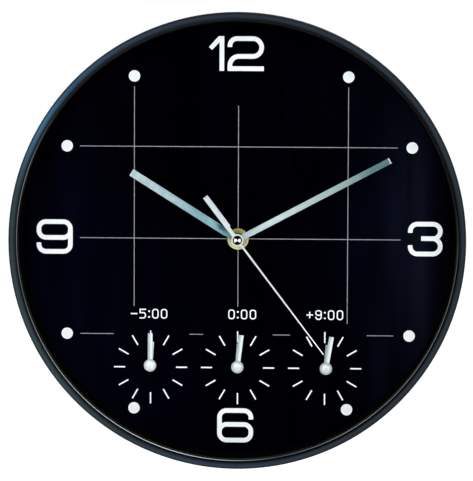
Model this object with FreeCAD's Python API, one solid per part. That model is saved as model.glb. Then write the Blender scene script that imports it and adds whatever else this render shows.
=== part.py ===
import FreeCAD, Part
import math
import os

from FreeCAD import Vector

# A round wall clock with a main dial and three small zone dials.
# All sizes are in millimetres. X is to the right of someone who looks at the dial, Z is up and Y points
# into the wall. The origin is where the hand axis meets the wall, and every depth is counted from the wall
# towards the viewer.

# Depths of the stack, from the wall to the front
cover_recess = 1.5
cover_thickness = 2.5
movement_recess = 2.5
movement_depth = 15.5
dial_thickness = 1.0
hand_room = 17.8
seal_thickness = 0.6
lens_thickness = 2.6
lip_thickness = 1.6
nose_rise = 1.1
nose_radius = 2.3

dial_back = movement_recess + movement_depth
dial_front = dial_back + dial_thickness
seal_back = dial_front + hand_room
lens_back = seal_back + seal_thickness
lens_front = lens_back + lens_thickness
lip_front = lens_front + lip_thickness
nose_base = lip_front + nose_rise
cover_back = cover_recess
cover_front = cover_back + cover_thickness

# Case ring and what it holds
case_radius = 152.5
case_taper = 1.5
case_taper_depth = 32.0
case_wall = 2.0
lip_overlap = 2.1
lip_bevel = 0.4
seat_clearance = 0.3
lens_bevel = 0.4
seal_width = 2.5
spacer_foot_width = 3.7
spacer_foot_height = 1.2
cover_wall = 2.6

skirt_back_radius = case_radius - case_taper
skirt_inner_radius = skirt_back_radius - case_wall
seat_radius = skirt_inner_radius - seat_clearance
lip_radius = skirt_inner_radius - lip_overlap

# Running and fixed fits, radial
running_gap = 0.05
fixed_gap = 0.02
overrun = 1.0

# Case screws, radial, countersunk
screw_count = 6
screw_first_angle = 30.0
screw_depth = 9.0
screw_shank_radius = 1.3
screw_head_radius = 2.6
screw_head_height = 1.4
screw_head_sink = 0.15
screw_length = 9.5
screw_hole_gap = 0.15
screw_block_width = 9.0
screw_block_reach = 7.0
recess_length = 3.0
recess_width = 0.7
recess_depth = 0.8

# Keyhole for the wall screw
keyhole_height = 100.0
keyhole_radius = 4.5
keyhole_slot_width = 5.0
keyhole_slot_length = 12.0
keyhole_pad_radius = 11.0
keyhole_pad_height = 0.7
cover_rib_radius = 136.0
cover_rib_width = 2.0
cover_rib_height = 0.7
window_gap = 0.4
window_frame_width = 1.0

# Printing on the dial
print_thickness = 0.12
line_width = 0.45
column_left = -69.9
column_middle = 0.0
column_right = 73.6
row_upper = 61.8
row_middle = 0.0
row_lower = -64.8
column_top = 102.2
middle_column_top = 89.5
column_bottom = -46.0
right_column_bottom = -57.0
row_reach_left = -106.5
row_reach_right = 106.8
middle_row_reach_right = 109.0
lower_row_cuts = (-106.1, -83.6, -32.6, -23.3, 23.5, 35.3, 86.8, 104.7)
dot_radius = 3.85
dot_row_reach_left = -115.1
dot_row_reach_right = 116.4
dot_lower_reach_right = 115.3
dot_column_top = 109.0
dot_column_bottom = -115.1

# Numerals of the main dial
digit_height = 23.2
digit_stroke = 3.1
digit_corner = 4.75
digit_width = 24.3
three_width = 23.2
one_width = 10.3
one_gap = 2.3
twelve_left = -20.1
twelve_bottom = 112.7
three_left = 114.0
three_bottom = -10.9
six_left = -13.6
six_bottom = -138.0
nine_left = -135.7
nine_bottom = -11.0

# Numbers over the zone dials
label_height = 6.6
label_stroke = 0.8
label_corner = 1.5
label_width = 4.4
label_gap = 1.5
label_dot = 1.1
label_base = -54.4
label_centres = (-59.8, 3.0, 58.6)

# Zone dials: places of the printed tick rings and of the spindles, which stand a little off them
zone_spacing = 58.7
zone_drop = 87.25
spindle_shift_across = (-0.1, 0.0, 0.9)
spindle_shift_up = (1.6, 0.95, 0.4)
tick_inner_radius = 17.2
tick_outer_radius = 24.7
tick_width = 0.92
tick_count = 12

# Movement body
body_size = 56.0
body_corner = 2.5
body_wall = 1.2
front_wall = 1.5
back_wall = 1.5
pad_thickness = 0.6
pad_size = 30.0
bush_radius = 4.0
bush_height = 4.6
zone_bush_radius = 3.5
bush_hole_gap = 0.2
washer_radius = 6.6
washer_thickness = 0.6
nut_radius = 7.1
nut_height = 2.6
nut_rim = 1.0
nut_dish = 0.9
bay_height = 15.6
partition = 1.2
rib_thickness = 1.2
rib_offset = 13.0
rib_depth = 9.3
battery_radius = 7.0
battery_length = 50.4
battery_nub_radius = 2.7
battery_nub_length = 1.3
battery_depth = 9.3
battery_gap = 0.1
contact_thickness = 0.4
contact_width = 6.0
contact_strip = 1.0
contact_depth = 7.0
contact_dimple_radius = 2.4
contact_notch_gap = 0.3
contact_end_gap = 0.8

# Spindle, from the outside in
hour_pipe_radius = 2.45
minute_pipe_radius = 1.6
second_arbor_radius = 0.5
arbor_radius = 0.6
pivot_radius = 0.4
pivot_length = 0.8
stud_radius = 0.8

# Gear train: centre distances in the plan, directions in degrees from +X
third_distance = 10.2
third_direction = 35.0
rotor_wheel_distance = 7.2
rotor_wheel_direction = 160.0
rotor_distance = 5.6
rotor_direction = 180.0
motion_distance = 9.0
motion_direction = 90.0
knob_distance = 9.0
knob_direction = 90.0

rotor_teeth = 8
rotor_wheel_teeth = 48
pinion_teeth = 8
second_teeth = 40
third_teeth = 60
centre_teeth = 64
cannon_teeth = 10
motion_teeth = 30
motion_pinion_teeth = 10
hour_teeth = 40
knob_teeth = 10

# Tooth form, in modules and in shares of the pitch angle
addendum_share = 0.85
dedendum_share = 1.15
tip_half_share = 0.11
root_half_share = 0.27

# Layers inside the movement, depth of each wheel's back face
wheel_thickness = 0.9
pinion_overlap = 0.2
rotor_layer = 5.5
second_layer = 7.2
third_layer = 9.0
bridge_layer = 10.8
bridge_thickness = 1.0
centre_layer = 12.4
motion_layer = 13.9
hour_layer = 15.2

magnet_radius = 3.0
magnet_length = 2.0
magnet_back = 8.2
stator_gap = 0.4
stator_margin = 0.8
stator_back = 8.7
stator_thickness = 1.0
stator_leg = 3.0
stator_width = 16.8
stator_top = 21.0
coil_height = 19.0
coil_radius = 3.6
coil_flange = 8.4
coil_flange_thickness = 0.8
coil_leg_gap = 0.1
core_width = 3.0
core_gap = 0.2

bridge_left = -17.0
bridge_right = 20.0
bridge_low = -8.5
bridge_high = 13.5
post_radius = 1.5
post_inset = 2.2

board_left = 5.0
board_right = 25.6
board_low = 17.0
board_high = 26.0
board_depth = 6.0
board_thickness = 1.0
board_peg_radius = 1.0
board_peg_inset = 3.0
crystal_radius = 1.0
crystal_length = 6.0
crystal_inset = 2.0
chip_radius = 2.4
chip_height = 0.8

knob_radius = 5.5
knob_flute_depth = 0.35
knob_flutes = 30
knob_thickness = 1.2
knob_gap = 0.3
knob_arbor_radius = 1.0
knob_slot_width = 1.2
knob_slot_depth = 0.5

# Main hands
hour_hand_length = 84.3
hour_hand_width = 5.1
hour_hand_level = 26.2
hour_hand_angle = 302.1
hour_eye_radius = 3.9
minute_hand_length = 115.1
minute_hand_width = 4.0
minute_hand_level = 28.6
minute_hand_angle = 62.1
minute_eye_radius = 3.4
hand_thickness = 0.5
hand_neck_width = 3.0
hand_neck_length = 10.0
collet_wall = 0.7
collet_height = 1.2
second_hand_length = 96.0
second_hand_width = 1.3
second_hand_tip_width = 0.6
second_hand_level = 31.0
second_hand_angle = 142.8
second_hand_thickness = 0.4
second_tail_length = 36.2
second_tail_width = 3.6
second_tail_shift = 0.35
second_tail_neck = 2.65
second_tail_neck_length = 10.5
second_boss_radius = 4.15
second_boss_height = 0.8
second_boss_recess = 0.5
second_cap_radius = 3.1
second_cap_height = 2.2
second_cap_groove = 0.25

# Zone hands
zone_hand_width = 3.2
zone_hour_length = 15.8
zone_minute_length = 21.7
zone_hour_level = 21.4
zone_minute_level = 22.6
zone_hand_thickness = 0.4
zone_eye_radius = 3.6
zone_hour_angles = (3.5, 4.2, 4.8)
zone_minute_angles = (0.0, 6.9, 9.7)
zone_cap_radius = 4.15
zone_cap_height = 0.7
zone_dome_radius = 2.55
zone_dome_height = 0.9
zone_cap_socket = 0.4

zone_names = ("left", "middle", "right")
full_turn = 360.0
half_turn = 180.0
right_angle = 90.0


# Basic shapes

def at(x, z, depth):
    return Vector(x, -depth, z)


def disc(radius, back, front, x=0, z=0):
    return Part.makeCylinder(radius, front - back, at(x, z, back), Vector(0, -1, 0))


def tube(outer, inner, back, front, x=0, z=0):
    return disc(outer, back, front, x, z).cut(disc(inner, back - overrun, front + overrun, x, z))


def slab(left, right, low, high, back, front):
    return Part.makeBox(right - left, front - back, high - low, at(left, low, front))


def rounded_slab(left, right, low, high, back, front, corner):
    box = slab(left, right, low, high, back, front)
    edges = [edge for edge in box.Edges if abs(edge.tangentAt(edge.FirstParameter).y) == 1]
    return box.makeFillet(corner, edges)


def prism(points, back, front):
    corners = [at(x, z, back) for x, z in points]
    outline = Part.makePolygon(corners + [corners[0]])
    return Part.Face(outline).extrude(Vector(0, back - front, 0))


def turned(edges):
    return Part.Face(Part.Wire(edges)).revolve(Vector(0, 0, 0), Vector(0, 1, 0), full_turn)


def section_line(start, end):
    return Part.makeLine(at(start[0], 0, start[1]), at(end[0], 0, end[1]))


def section_arc(start, middle, end):
    corners = [at(radius, 0, depth) for radius, depth in (start, middle, end)]
    return Part.Arc(*corners).toShape()


def section_path(points):
    return [section_line(start, end) for start, end in zip(points, points[1:])]


def moved(shape, x, z):
    copy = shape.copy()
    copy.translate(Vector(x, 0, z))
    return copy


def clockwise(shape, angle):
    copy = shape.copy()
    copy.rotate(Vector(0, 0, 0), Vector(0, 1, 0), angle)
    return copy


def joined(shapes):
    return shapes[0].fuse(shapes[1:]).removeSplitter()


def polar(distance, direction):
    return (distance * math.cos(math.radians(direction)), distance * math.sin(math.radians(direction)))


def export(name, shapes):
    shape = shapes[0] if len(shapes) == 1 else Part.makeCompound(shapes)
    shape.exportStep(f"parts/{name}.step")


# Case ring: skirt, half-round nose and the lip that holds the glass

def case_ring():
    nose_centre = case_radius - nose_radius
    nose_inner = nose_centre - nose_radius
    nose_top = nose_base + nose_radius
    edges = section_path([
        (skirt_inner_radius, 0),
        (skirt_back_radius, 0),
        (case_radius, case_taper_depth),
        (case_radius, nose_base),
    ])
    edges.append(section_arc((case_radius, nose_base), (nose_centre, nose_top), (nose_inner, nose_base)))
    edges += section_path([
        (nose_inner, nose_base),
        (nose_inner, lip_front),
        (lip_radius + lip_bevel, lip_front),
        (lip_radius, lip_front - lip_bevel),
        (lip_radius, lens_front),
        (skirt_inner_radius, lens_front),
        (skirt_inner_radius, 0),
    ])
    ring = turned(edges)
    return ring.cut(screw_places(screw_clearance()))


def screw_outer_radius():
    return skirt_back_radius + case_taper * screw_depth / case_taper_depth - screw_head_sink


def radial_cone(large, small, outer, inner):
    return Part.makeCone(large, small, outer - inner, at(outer, 0, screw_depth), Vector(-1, 0, 0))


def radial_rod(radius, outer, inner):
    return Part.makeCylinder(radius, outer - inner, at(outer, 0, screw_depth), Vector(-1, 0, 0))


def screw_places(shape):
    step = full_turn / screw_count
    angles = [screw_first_angle + step * index for index in range(screw_count)]
    return Part.makeCompound([clockwise(shape, angle) for angle in angles])


def screw_clearance():
    outer = screw_outer_radius()
    wide = screw_head_radius + screw_hole_gap
    narrow = screw_shank_radius + screw_hole_gap
    mouth = radial_rod(wide, outer + overrun, outer)
    cone = radial_cone(wide, narrow, outer, outer - screw_head_height)
    shank = radial_rod(narrow, outer, skirt_inner_radius - overrun)
    return mouth.fuse([cone, shank])


def case_screw():
    outer = screw_outer_radius()
    head = radial_cone(screw_head_radius, screw_shank_radius, outer, outer - screw_head_height)
    shank = radial_rod(screw_shank_radius, outer - screw_head_height, outer - screw_length)
    screw = head.fuse(shank).removeSplitter()
    half_length = recess_length / 2
    half_width = recess_width / 2
    for across, along in ((half_length, half_width), (half_width, half_length)):
        corner = at(outer - recess_depth, -across, screw_depth + along)
        screw = screw.cut(Part.makeBox(recess_depth + overrun, 2 * along, 2 * across, corner))
    return screw


# Glass, seal, spacer and dial

def lens():
    return turned(section_path([
        (0, lens_back),
        (seat_radius - lens_bevel, lens_back),
        (seat_radius, lens_back + lens_bevel),
        (seat_radius, lens_front - lens_bevel),
        (seat_radius - lens_bevel, lens_front),
        (0, lens_front),
        (0, lens_back),
    ]))


def lens_seal():
    return tube(seat_radius, seat_radius - seal_width, seal_back, lens_back)


def spacer_ring():
    return turned(section_path([
        (seat_radius, dial_front),
        (seat_radius, seal_back),
        (seat_radius - seal_width, seal_back),
        (seat_radius - spacer_foot_width, dial_front + spacer_foot_height),
        (seat_radius - spacer_foot_width, dial_front),
        (seat_radius, dial_front),
    ]))


def zone_ring_places():
    return [(zone_spacing * step, -zone_drop) for step in (-1, 0, 1)]


def zone_spindle_places():
    shifts = zip(zone_ring_places(), spindle_shift_across, spindle_shift_up)
    return [(x + across, z + up) for (x, z), across, up in shifts]


def dial_plate():
    plate = disc(seat_radius, dial_back, dial_front)
    holes = [disc(bush_radius + bush_hole_gap, dial_back - overrun, dial_front + overrun)]
    for x, z in zone_spindle_places():
        holes.append(disc(zone_bush_radius + bush_hole_gap, dial_back - overrun, dial_front + overrun, x, z))
    return plate.cut(holes)


# Ink: every stroke is a straight bar or a bent one of constant width

print_front = dial_front + print_thickness


def bar(start, end, width):
    along = Vector(end[0] - start[0], 0, end[1] - start[1])
    side = Vector(-along.z, 0, along.x).normalize() * (width / 2)
    corners = [(start[0] + side.x, start[1] + side.z), (end[0] + side.x, end[1] + side.z),
               (end[0] - side.x, end[1] - side.z), (start[0] - side.x, start[1] - side.z)]
    return prism(corners, dial_front, print_front)


def bend(centre, radius, width, start, end):
    def spot(distance, angle):
        x, z = polar(distance, angle)
        return at(centre[0] + x, centre[1] + z, dial_front)

    outer = radius + width / 2
    inner = radius - width / 2
    middle = (start + end) / 2
    edges = [
        Part.Arc(spot(outer, start), spot(outer, middle), spot(outer, end)).toShape(),
        Part.makeLine(spot(outer, end), spot(inner, end)),
        Part.Arc(spot(inner, end), spot(inner, middle), spot(inner, start)).toShape(),
        Part.makeLine(spot(inner, start), spot(outer, start)),
    ]
    return Part.Face(Part.Wire(edges)).extrude(Vector(0, -print_thickness, 0))


def corner_bend(corner, quadrant, radius, width):
    # Quadrant 0 is the upper right corner of a box, and they follow anticlockwise.
    inward_x = -radius if quadrant in (0, 3) else radius
    inward_z = -radius if quadrant in (0, 1) else radius
    centre = (corner[0] + inward_x, corner[1] + inward_z)
    return bend(centre, radius, width, right_angle * quadrant, right_angle * (quadrant + 1))


def glyph_one(width, height, stroke):
    top_share = 0.64
    tip_upper_share = 0.685
    tip_lower_share = 0.605
    tip_step_share = 0.21
    crotch_share = 0.83
    return prism([
        (width - stroke, 0),
        (width, 0),
        (width, height),
        (width * top_share, height),
        (0, height * tip_upper_share),
        (width * tip_step_share, height * tip_lower_share),
        (width - stroke, height * crotch_share),
    ], dial_front, print_front)


def glyph_two(width, height, stroke, corner):
    bowl_share = 0.512
    hook_share = 0.31
    foot_share = 0.26
    left, right = stroke / 2, width - stroke / 2
    top = height - stroke / 2
    middle = top - height * bowl_share
    bowl = (top - middle) / 2
    foot = height * foot_share
    return joined([
        bar((left, height - height * hook_share), (left, top - corner), stroke),
        corner_bend((left, top), 1, corner, stroke),
        bar((left + corner, top), (right - bowl, top), stroke),
        bend((right - bowl, middle + bowl), bowl, stroke, -right_angle, right_angle),
        bar((left + foot, middle), (right - bowl, middle), stroke),
        corner_bend((left, middle), 1, foot, stroke),
        bar((left, 0), (left, middle - foot), stroke),
        bar((0, stroke / 2), (width, stroke / 2), stroke),
    ])


def glyph_three(width, height, stroke, corner):
    middle_share = 0.515
    hook_share = 0.32
    bar_share = 0.38
    left, right = stroke / 2, width - stroke / 2
    low, top = stroke / 2, height - stroke / 2
    middle = height * middle_share
    hook = height * hook_share
    upper = (top - middle) / 2
    lower = (middle - low) / 2
    return joined([
        bar((left, height - hook), (left, top - corner), stroke),
        corner_bend((left, top), 1, corner, stroke),
        bar((left + corner, top), (right - upper, top), stroke),
        bend((right - upper, middle + upper), upper, stroke, -right_angle, right_angle),
        bar((width * bar_share, middle), (right - upper, middle), stroke),
        bar((width * bar_share, middle), (right - lower, middle), stroke),
        bend((right - lower, middle - lower), lower, stroke, -right_angle, right_angle),
        bar((left + corner, low), (right - lower, low), stroke),
        corner_bend((left, low), 2, corner, stroke),
        bar((left, low + corner), (left, hook), stroke),
    ])


def glyph_nine(width, height, stroke, corner):
    loop_share = 0.46
    hook_share = 0.325
    left, right = stroke / 2, width - stroke / 2
    low, top = stroke / 2, height - stroke / 2
    loop = top - height * loop_share
    return joined([
        corner_bend((right, top), 0, corner, stroke),
        bar((left + corner, top), (right - corner, top), stroke),
        corner_bend((left, top), 1, corner, stroke),
        bar((left, loop + corner), (left, top - corner), stroke),
        corner_bend((left, loop), 2, corner, stroke),
        bar((left + corner, loop), (right - corner, loop), stroke),
        corner_bend((right, loop), 3, corner, stroke),
        bar((right, low + corner), (right, top - corner), stroke),
        corner_bend((right, low), 3, corner, stroke),
        bar((left + corner, low), (right - corner, low), stroke),
        corner_bend((left, low), 2, corner, stroke),
        bar((left, low + corner), (left, height * hook_share), stroke),
    ])


def glyph_six(width, height, stroke, corner):
    nine = glyph_nine(width, height, stroke, corner)
    return moved(clockwise(nine, half_turn), width, height)


def glyph_zero(width, height, stroke, corner):
    left, right = stroke / 2, width - stroke / 2
    low, top = stroke / 2, height - stroke / 2
    return joined([
        corner_bend((right, top), 0, corner, stroke),
        bar((left + corner, top), (right - corner, top), stroke),
        corner_bend((left, top), 1, corner, stroke),
        bar((left, low + corner), (left, top - corner), stroke),
        corner_bend((left, low), 2, corner, stroke),
        bar((left + corner, low), (right - corner, low), stroke),
        corner_bend((right, low), 3, corner, stroke),
        bar((right, low + corner), (right, top - corner), stroke),
    ])


def glyph_five(width, height, stroke, corner):
    middle_share = 0.6
    left, right = stroke / 2, width - stroke / 2
    low, top = stroke / 2, height - stroke / 2
    middle = height * middle_share
    return joined([
        bar((0, top), (width, top), stroke),
        bar((left, middle - stroke / 2), (left, top), stroke),
        bar((0, middle), (right - corner, middle), stroke),
        corner_bend((right, middle), 0, corner, stroke),
        bar((right, low + corner), (right, middle - corner), stroke),
        corner_bend((right, low), 3, corner, stroke),
        bar((0, low), (right - corner, low), stroke),
    ])


def numerals():
    size = (digit_height, digit_stroke, digit_corner)
    one = glyph_one(one_width, digit_height, digit_stroke)
    two = glyph_two(digit_width, *size)
    return [
        moved(one, twelve_left, twelve_bottom),
        moved(two, twelve_left + one_width + one_gap, twelve_bottom),
        moved(glyph_three(three_width, *size), three_left, three_bottom),
        moved(glyph_six(digit_width, *size), six_left, six_bottom),
        moved(glyph_nine(digit_width, *size), nine_left, nine_bottom),
    ]


def label_sign(both_ways):
    reach = label_width / 2
    middle = label_height / 2
    strokes = [bar((0, middle), (2 * reach, middle), label_stroke)]
    if both_ways:
        strokes.append(bar((reach, middle - reach), (reach, middle + reach), label_stroke))
    return [joined(strokes) if both_ways else strokes[0]]


def label_colon():
    upper = label_height - 2 * label_dot
    dots = [(0, label_dot / 2), (0, upper)]
    return [bar((x, z + label_dot / 2), (x + label_dot, z + label_dot / 2), label_dot) for x, z in dots]


def label_text(first_glyphs, centre):
    size = (label_width, label_height, label_stroke, label_corner)
    glyphs = list(first_glyphs)
    glyphs.append((label_colon(), label_dot))
    glyphs.append(([glyph_zero(*size)], label_width))
    glyphs.append(([glyph_zero(*size)], label_width))
    total = sum(width for shapes, width in glyphs) + label_gap * (len(glyphs) - 1)
    left = centre - total / 2
    placed = []
    for shapes, width in glyphs:
        placed += [moved(shape, left, label_base) for shape in shapes]
        left += width + label_gap
    return placed


def zone_labels():
    size = (label_width, label_height, label_stroke, label_corner)
    hours = (
        [(label_sign(False), label_width), ([glyph_five(*size)], label_width)],
        [([glyph_zero(*size)], label_width)],
        [(label_sign(True), label_width), ([glyph_nine(*size)], label_width)],
    )
    return [shape for first, centre in zip(hours, label_centres) for shape in label_text(first, centre)]


def hour_dots():
    places = [(x, z) for x in (column_left, column_right) for z in (dot_column_top, dot_column_bottom)]
    places += [(dot_row_reach_left, row_upper), (dot_row_reach_left, row_lower)]
    places += [(dot_row_reach_right, row_upper), (dot_lower_reach_right, row_lower)]
    return [disc(dot_radius, dial_front, print_front, x, z) for x, z in places]


def tick_rings():
    tick = bar((0, tick_inner_radius), (0, tick_outer_radius), tick_width)
    step = full_turn / tick_count
    ring = [clockwise(tick, step * index) for index in range(tick_count)]
    return [moved(shape, x, z) for x, z in zone_ring_places() for shape in ring]


def grid_lines():
    half = line_width / 2
    bush = nut_radius
    columns = [
        (column_left, column_bottom, column_top),
        (column_middle, column_bottom, -bush),
        (column_middle, bush, middle_column_top),
        (column_right, right_column_bottom, column_top),
    ]
    upright = [slab(x - half, x + half, low, high, dial_front, print_front) for x, low, high in columns]
    rows = [(row_upper, row_reach_left, row_reach_right)]
    rows += [(row_middle, row_reach_left, -bush), (row_middle, bush, middle_row_reach_right)]
    rows += [(row_lower, *pair) for pair in zip(lower_row_cuts[::2], lower_row_cuts[1::2])]
    level = [slab(left, right, z - half, z + half, dial_front, print_front) for z, left, right in rows]
    lines = upright[0].fuse(upright[1:] + level).removeSplitter()
    return lines.Solids


# Back cover: pan with windows for the movements and a keyhole

def body_window(x, z, grow, back, front):
    half = body_size / 2 + grow
    return slab(x - half, x + half, z - half, z + half, back, front)


def back_cover():
    wall_inner = seat_radius - cover_wall
    plate = disc(seat_radius, cover_back, cover_front)
    wall = tube(seat_radius, wall_inner, cover_front, dial_back)
    blocks = []
    for index in range(screw_count):
        half = screw_block_width / 2
        inner = wall_inner - screw_block_reach
        block = slab(inner, wall_inner + cover_wall / 2, -half, half, cover_front, screw_depth + half)
        blocks.append(clockwise(block, screw_first_angle + full_turn / screw_count * index))
    rib_back = cover_back - cover_rib_height
    rib = tube(cover_rib_radius, cover_rib_radius - cover_rib_width, rib_back, cover_back)
    pad_back = cover_back - keyhole_pad_height
    slot_top = keyhole_height + keyhole_slot_length
    pad = disc(keyhole_pad_radius, pad_back, cover_back, 0, keyhole_height)
    pad_upper = disc(keyhole_pad_radius, pad_back, cover_back, 0, slot_top)
    pad_middle = slab(-keyhole_pad_radius, keyhole_pad_radius, keyhole_height, slot_top, pad_back, cover_back)
    places = [(0, 0)] + zone_spindle_places()
    outer_grow = window_gap + window_frame_width
    frames = [body_window(x, z, outer_grow, rib_back, cover_back) for x, z in places]
    cover = joined([plate, wall] + blocks + [rib, pad, pad_upper, pad_middle] + frames)
    start, end = pad_back - overrun, cover_front + overrun
    slot = keyhole_slot_width / 2
    cuts = [body_window(x, z, window_gap, start, end) for x, z in places]
    cuts.append(disc(keyhole_radius, start, end, 0, keyhole_height))
    cuts.append(disc(slot, start, end, 0, slot_top))
    cuts.append(slab(-slot, slot, keyhole_height, slot_top, start, end))
    pilot_end = wall_inner - screw_block_reach - overrun
    pilot = radial_rod(screw_shank_radius + fixed_gap, seat_radius + overrun, pilot_end)
    return cover.cut(cuts).cut(screw_places(pilot))


# Gears

def toothed(teeth, module, back, front, place, phase):
    pitch = full_turn / teeth
    pitch_radius = module * teeth / 2
    root = pitch_radius - dedendum_share * module
    tip = pitch_radius + addendum_share * module
    flanks = (
        (root, -root_half_share),
        (tip, -tip_half_share),
        (tip, tip_half_share),
        (root, root_half_share),
    )
    points = []
    for index in range(teeth):
        middle = phase + pitch * index
        for radius, share in flanks:
            x, z = polar(radius, middle + pitch * share)
            points.append((place[0] + x, place[1] + z))
    return prism(points, back, front)


def meshed_phase(direction, teeth, phase, follower_teeth):
    # Where the follower's first tooth points, so that its gaps take the teeth of the wheel it meets.
    behind = (direction - phase) % (full_turn / teeth)
    return direction + half_turn + behind * teeth / follower_teeth + half_turn / follower_teeth


def module_for(distance, teeth, other_teeth):
    return 2 * distance / (teeth + other_teeth)


def step_from(place, distance, direction):
    x, z = polar(distance, direction)
    return (place[0] + x, place[1] + z)


def wheel_band(layer):
    return (layer, layer + wheel_thickness)


def pinion_band(layer):
    return (layer - pinion_overlap, layer + wheel_thickness + pinion_overlap)


hub_place = (0, 0)
third_place = step_from(hub_place, third_distance, third_direction)
rotor_wheel_place = step_from(hub_place, rotor_wheel_distance, rotor_wheel_direction)
rotor_place = step_from(rotor_wheel_place, rotor_distance, rotor_direction)
motion_place = step_from(hub_place, motion_distance, motion_direction)
knob_place = step_from(motion_place, knob_distance, knob_direction)
inner_back = movement_recess + back_wall
pivot_back = inner_back - pivot_length

motion_module = module_for(motion_distance, cannon_teeth, motion_teeth)
hour_module = module_for(motion_distance, motion_pinion_teeth, hour_teeth)
knob_module = module_for(knob_distance, knob_teeth, motion_teeth)
second_module = module_for(rotor_wheel_distance, pinion_teeth, second_teeth)
third_module = module_for(third_distance, pinion_teeth, third_teeth)
centre_module = module_for(third_distance, pinion_teeth, centre_teeth)
rotor_module = module_for(rotor_distance, rotor_teeth, rotor_wheel_teeth)

motion_phase = meshed_phase(motion_direction, cannon_teeth, 0, motion_teeth)
hour_phase = meshed_phase(motion_direction + half_turn, motion_pinion_teeth, 0, hour_teeth)
knob_phase = meshed_phase(knob_direction, motion_teeth, motion_phase, knob_teeth)
third_phase = meshed_phase(third_direction, pinion_teeth, 0, third_teeth)
centre_phase = meshed_phase(third_direction + half_turn, pinion_teeth, 0, centre_teeth)
second_pinion_phase = meshed_phase(rotor_wheel_direction, second_teeth, 0, pinion_teeth)
rotor_phase = meshed_phase(rotor_direction, rotor_wheel_teeth, 0, rotor_teeth)


def rotor():
    x, z = rotor_place
    return joined([
        toothed(rotor_teeth, rotor_module, *pinion_band(rotor_layer), rotor_place, rotor_phase),
        disc(pivot_radius, pivot_back, bridge_layer + pivot_length, x, z),
        disc(magnet_radius, magnet_back, magnet_back + magnet_length, x, z),
    ])


def rotor_wheel():
    x, z = rotor_wheel_place
    phase = second_pinion_phase
    return joined([
        toothed(rotor_wheel_teeth, rotor_module, *wheel_band(rotor_layer), rotor_wheel_place, 0),
        toothed(pinion_teeth, second_module, *pinion_band(second_layer), rotor_wheel_place, phase),
        disc(arbor_radius, inner_back + running_gap, bridge_layer - running_gap, x, z),
        disc(pivot_radius, pivot_back, bridge_layer + pivot_length, x, z),
    ])


def seconds_wheel():
    return joined([
        toothed(second_teeth, second_module, *wheel_band(second_layer), hub_place, 0),
        toothed(pinion_teeth, third_module, *pinion_band(third_layer), hub_place, 0),
        disc(second_arbor_radius, pivot_back, second_hand_level + second_boss_height - second_boss_recess),
    ])


def third_wheel():
    x, z = third_place
    front = dial_back - front_wall
    return joined([
        toothed(third_teeth, third_module, *wheel_band(third_layer), third_place, third_phase),
        toothed(pinion_teeth, centre_module, *pinion_band(centre_layer), third_place, 0),
        disc(arbor_radius, inner_back + running_gap, front - running_gap, x, z),
        disc(pivot_radius, pivot_back, front + pivot_length, x, z),
    ])


def minute_arbor(pipe_front, hollow):
    layer_back = centre_layer - pinion_overlap
    parts = [
        toothed(centre_teeth, centre_module, *wheel_band(centre_layer), hub_place, centre_phase),
        toothed(cannon_teeth, motion_module, *pinion_band(motion_layer), hub_place, 0),
        disc(minute_pipe_radius, layer_back, pipe_front),
    ]
    if not hollow:
        parts.append(disc(pivot_radius, pivot_back, layer_back))
        parts.append(disc(arbor_radius, inner_back + running_gap, layer_back))
    arbor = joined(parts)
    if hollow:
        arbor = arbor.cut(disc(second_arbor_radius + running_gap, layer_back - overrun, pipe_front + overrun))
    return arbor


def motion_wheel():
    x, z = motion_place
    front = hour_layer + wheel_thickness
    wheel = joined([
        toothed(motion_teeth, motion_module, *wheel_band(motion_layer), motion_place, motion_phase),
        toothed(motion_pinion_teeth, hour_module, motion_layer, front, motion_place, 0),
    ])
    return wheel.cut(disc(stud_radius + running_gap, motion_layer - overrun, front + overrun, x, z))


def hour_pipe(pipe_front):
    pipe = joined([
        toothed(hour_teeth, hour_module, *wheel_band(hour_layer), hub_place, hour_phase),
        disc(hour_pipe_radius, hour_layer, pipe_front),
    ])
    return pipe.cut(disc(minute_pipe_radius + running_gap, hour_layer - overrun, pipe_front + overrun))


def setting_knob(front):
    x, z = knob_place
    head_front = movement_recess - knob_gap
    head_back = head_front - knob_thickness
    points = []
    for index in range(2 * knob_flutes):
        radius = knob_radius - knob_flute_depth * (index % 2)
        dx, dz = polar(radius, half_turn / knob_flutes * index)
        points.append((x + dx, z + dz))
    knob = joined([
        prism(points, head_back, head_front),
        disc(knob_arbor_radius, head_front, front - running_gap, x, z),
        disc(pivot_radius, front - running_gap, front + pivot_length / 2, x, z),
        toothed(knob_teeth, knob_module, *pinion_band(motion_layer), knob_place, knob_phase),
    ])
    half = knob_slot_width / 2
    reach = knob_radius + overrun
    slot = slab(x - reach, x + reach, z - half, z + half, head_back - overrun, head_back + knob_slot_depth)
    return knob.cut(slot)


# Movement cases

half_body = body_size / 2
bay_low = -half_body + body_wall
bay_high = bay_low + bay_height
battery_height = bay_low + battery_radius + battery_gap
contact_plate_place = half_body - body_wall - contact_end_gap - contact_thickness


def movement_front(plate_back, plate_front, radius, bush_front, with_train):
    plate = rounded_slab(-half_body, half_body, -half_body, half_body, plate_back, plate_front, body_corner)
    x, z = motion_place
    parts = [
        plate,
        disc(radius, plate_front, bush_front),
        disc(stud_radius, motion_layer - pinion_overlap, plate_back, x, z),
    ]
    if with_train:
        post_back = bridge_layer + bridge_thickness
        parts += [disc(post_radius, post_back, plate_back, px, pz) for px, pz in bridge_posts()]
    front = joined(parts)
    hole = pivot_radius + running_gap
    start = plate_back - overrun
    cuts = [
        disc(hour_pipe_radius + running_gap, start, bush_front + overrun),
        disc(hole, start, plate_back + pivot_length, *knob_place),
    ]
    if with_train:
        cuts.append(disc(hole, start, plate_back + pivot_length + running_gap, *third_place))
    return front.cut(cuts)


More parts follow.
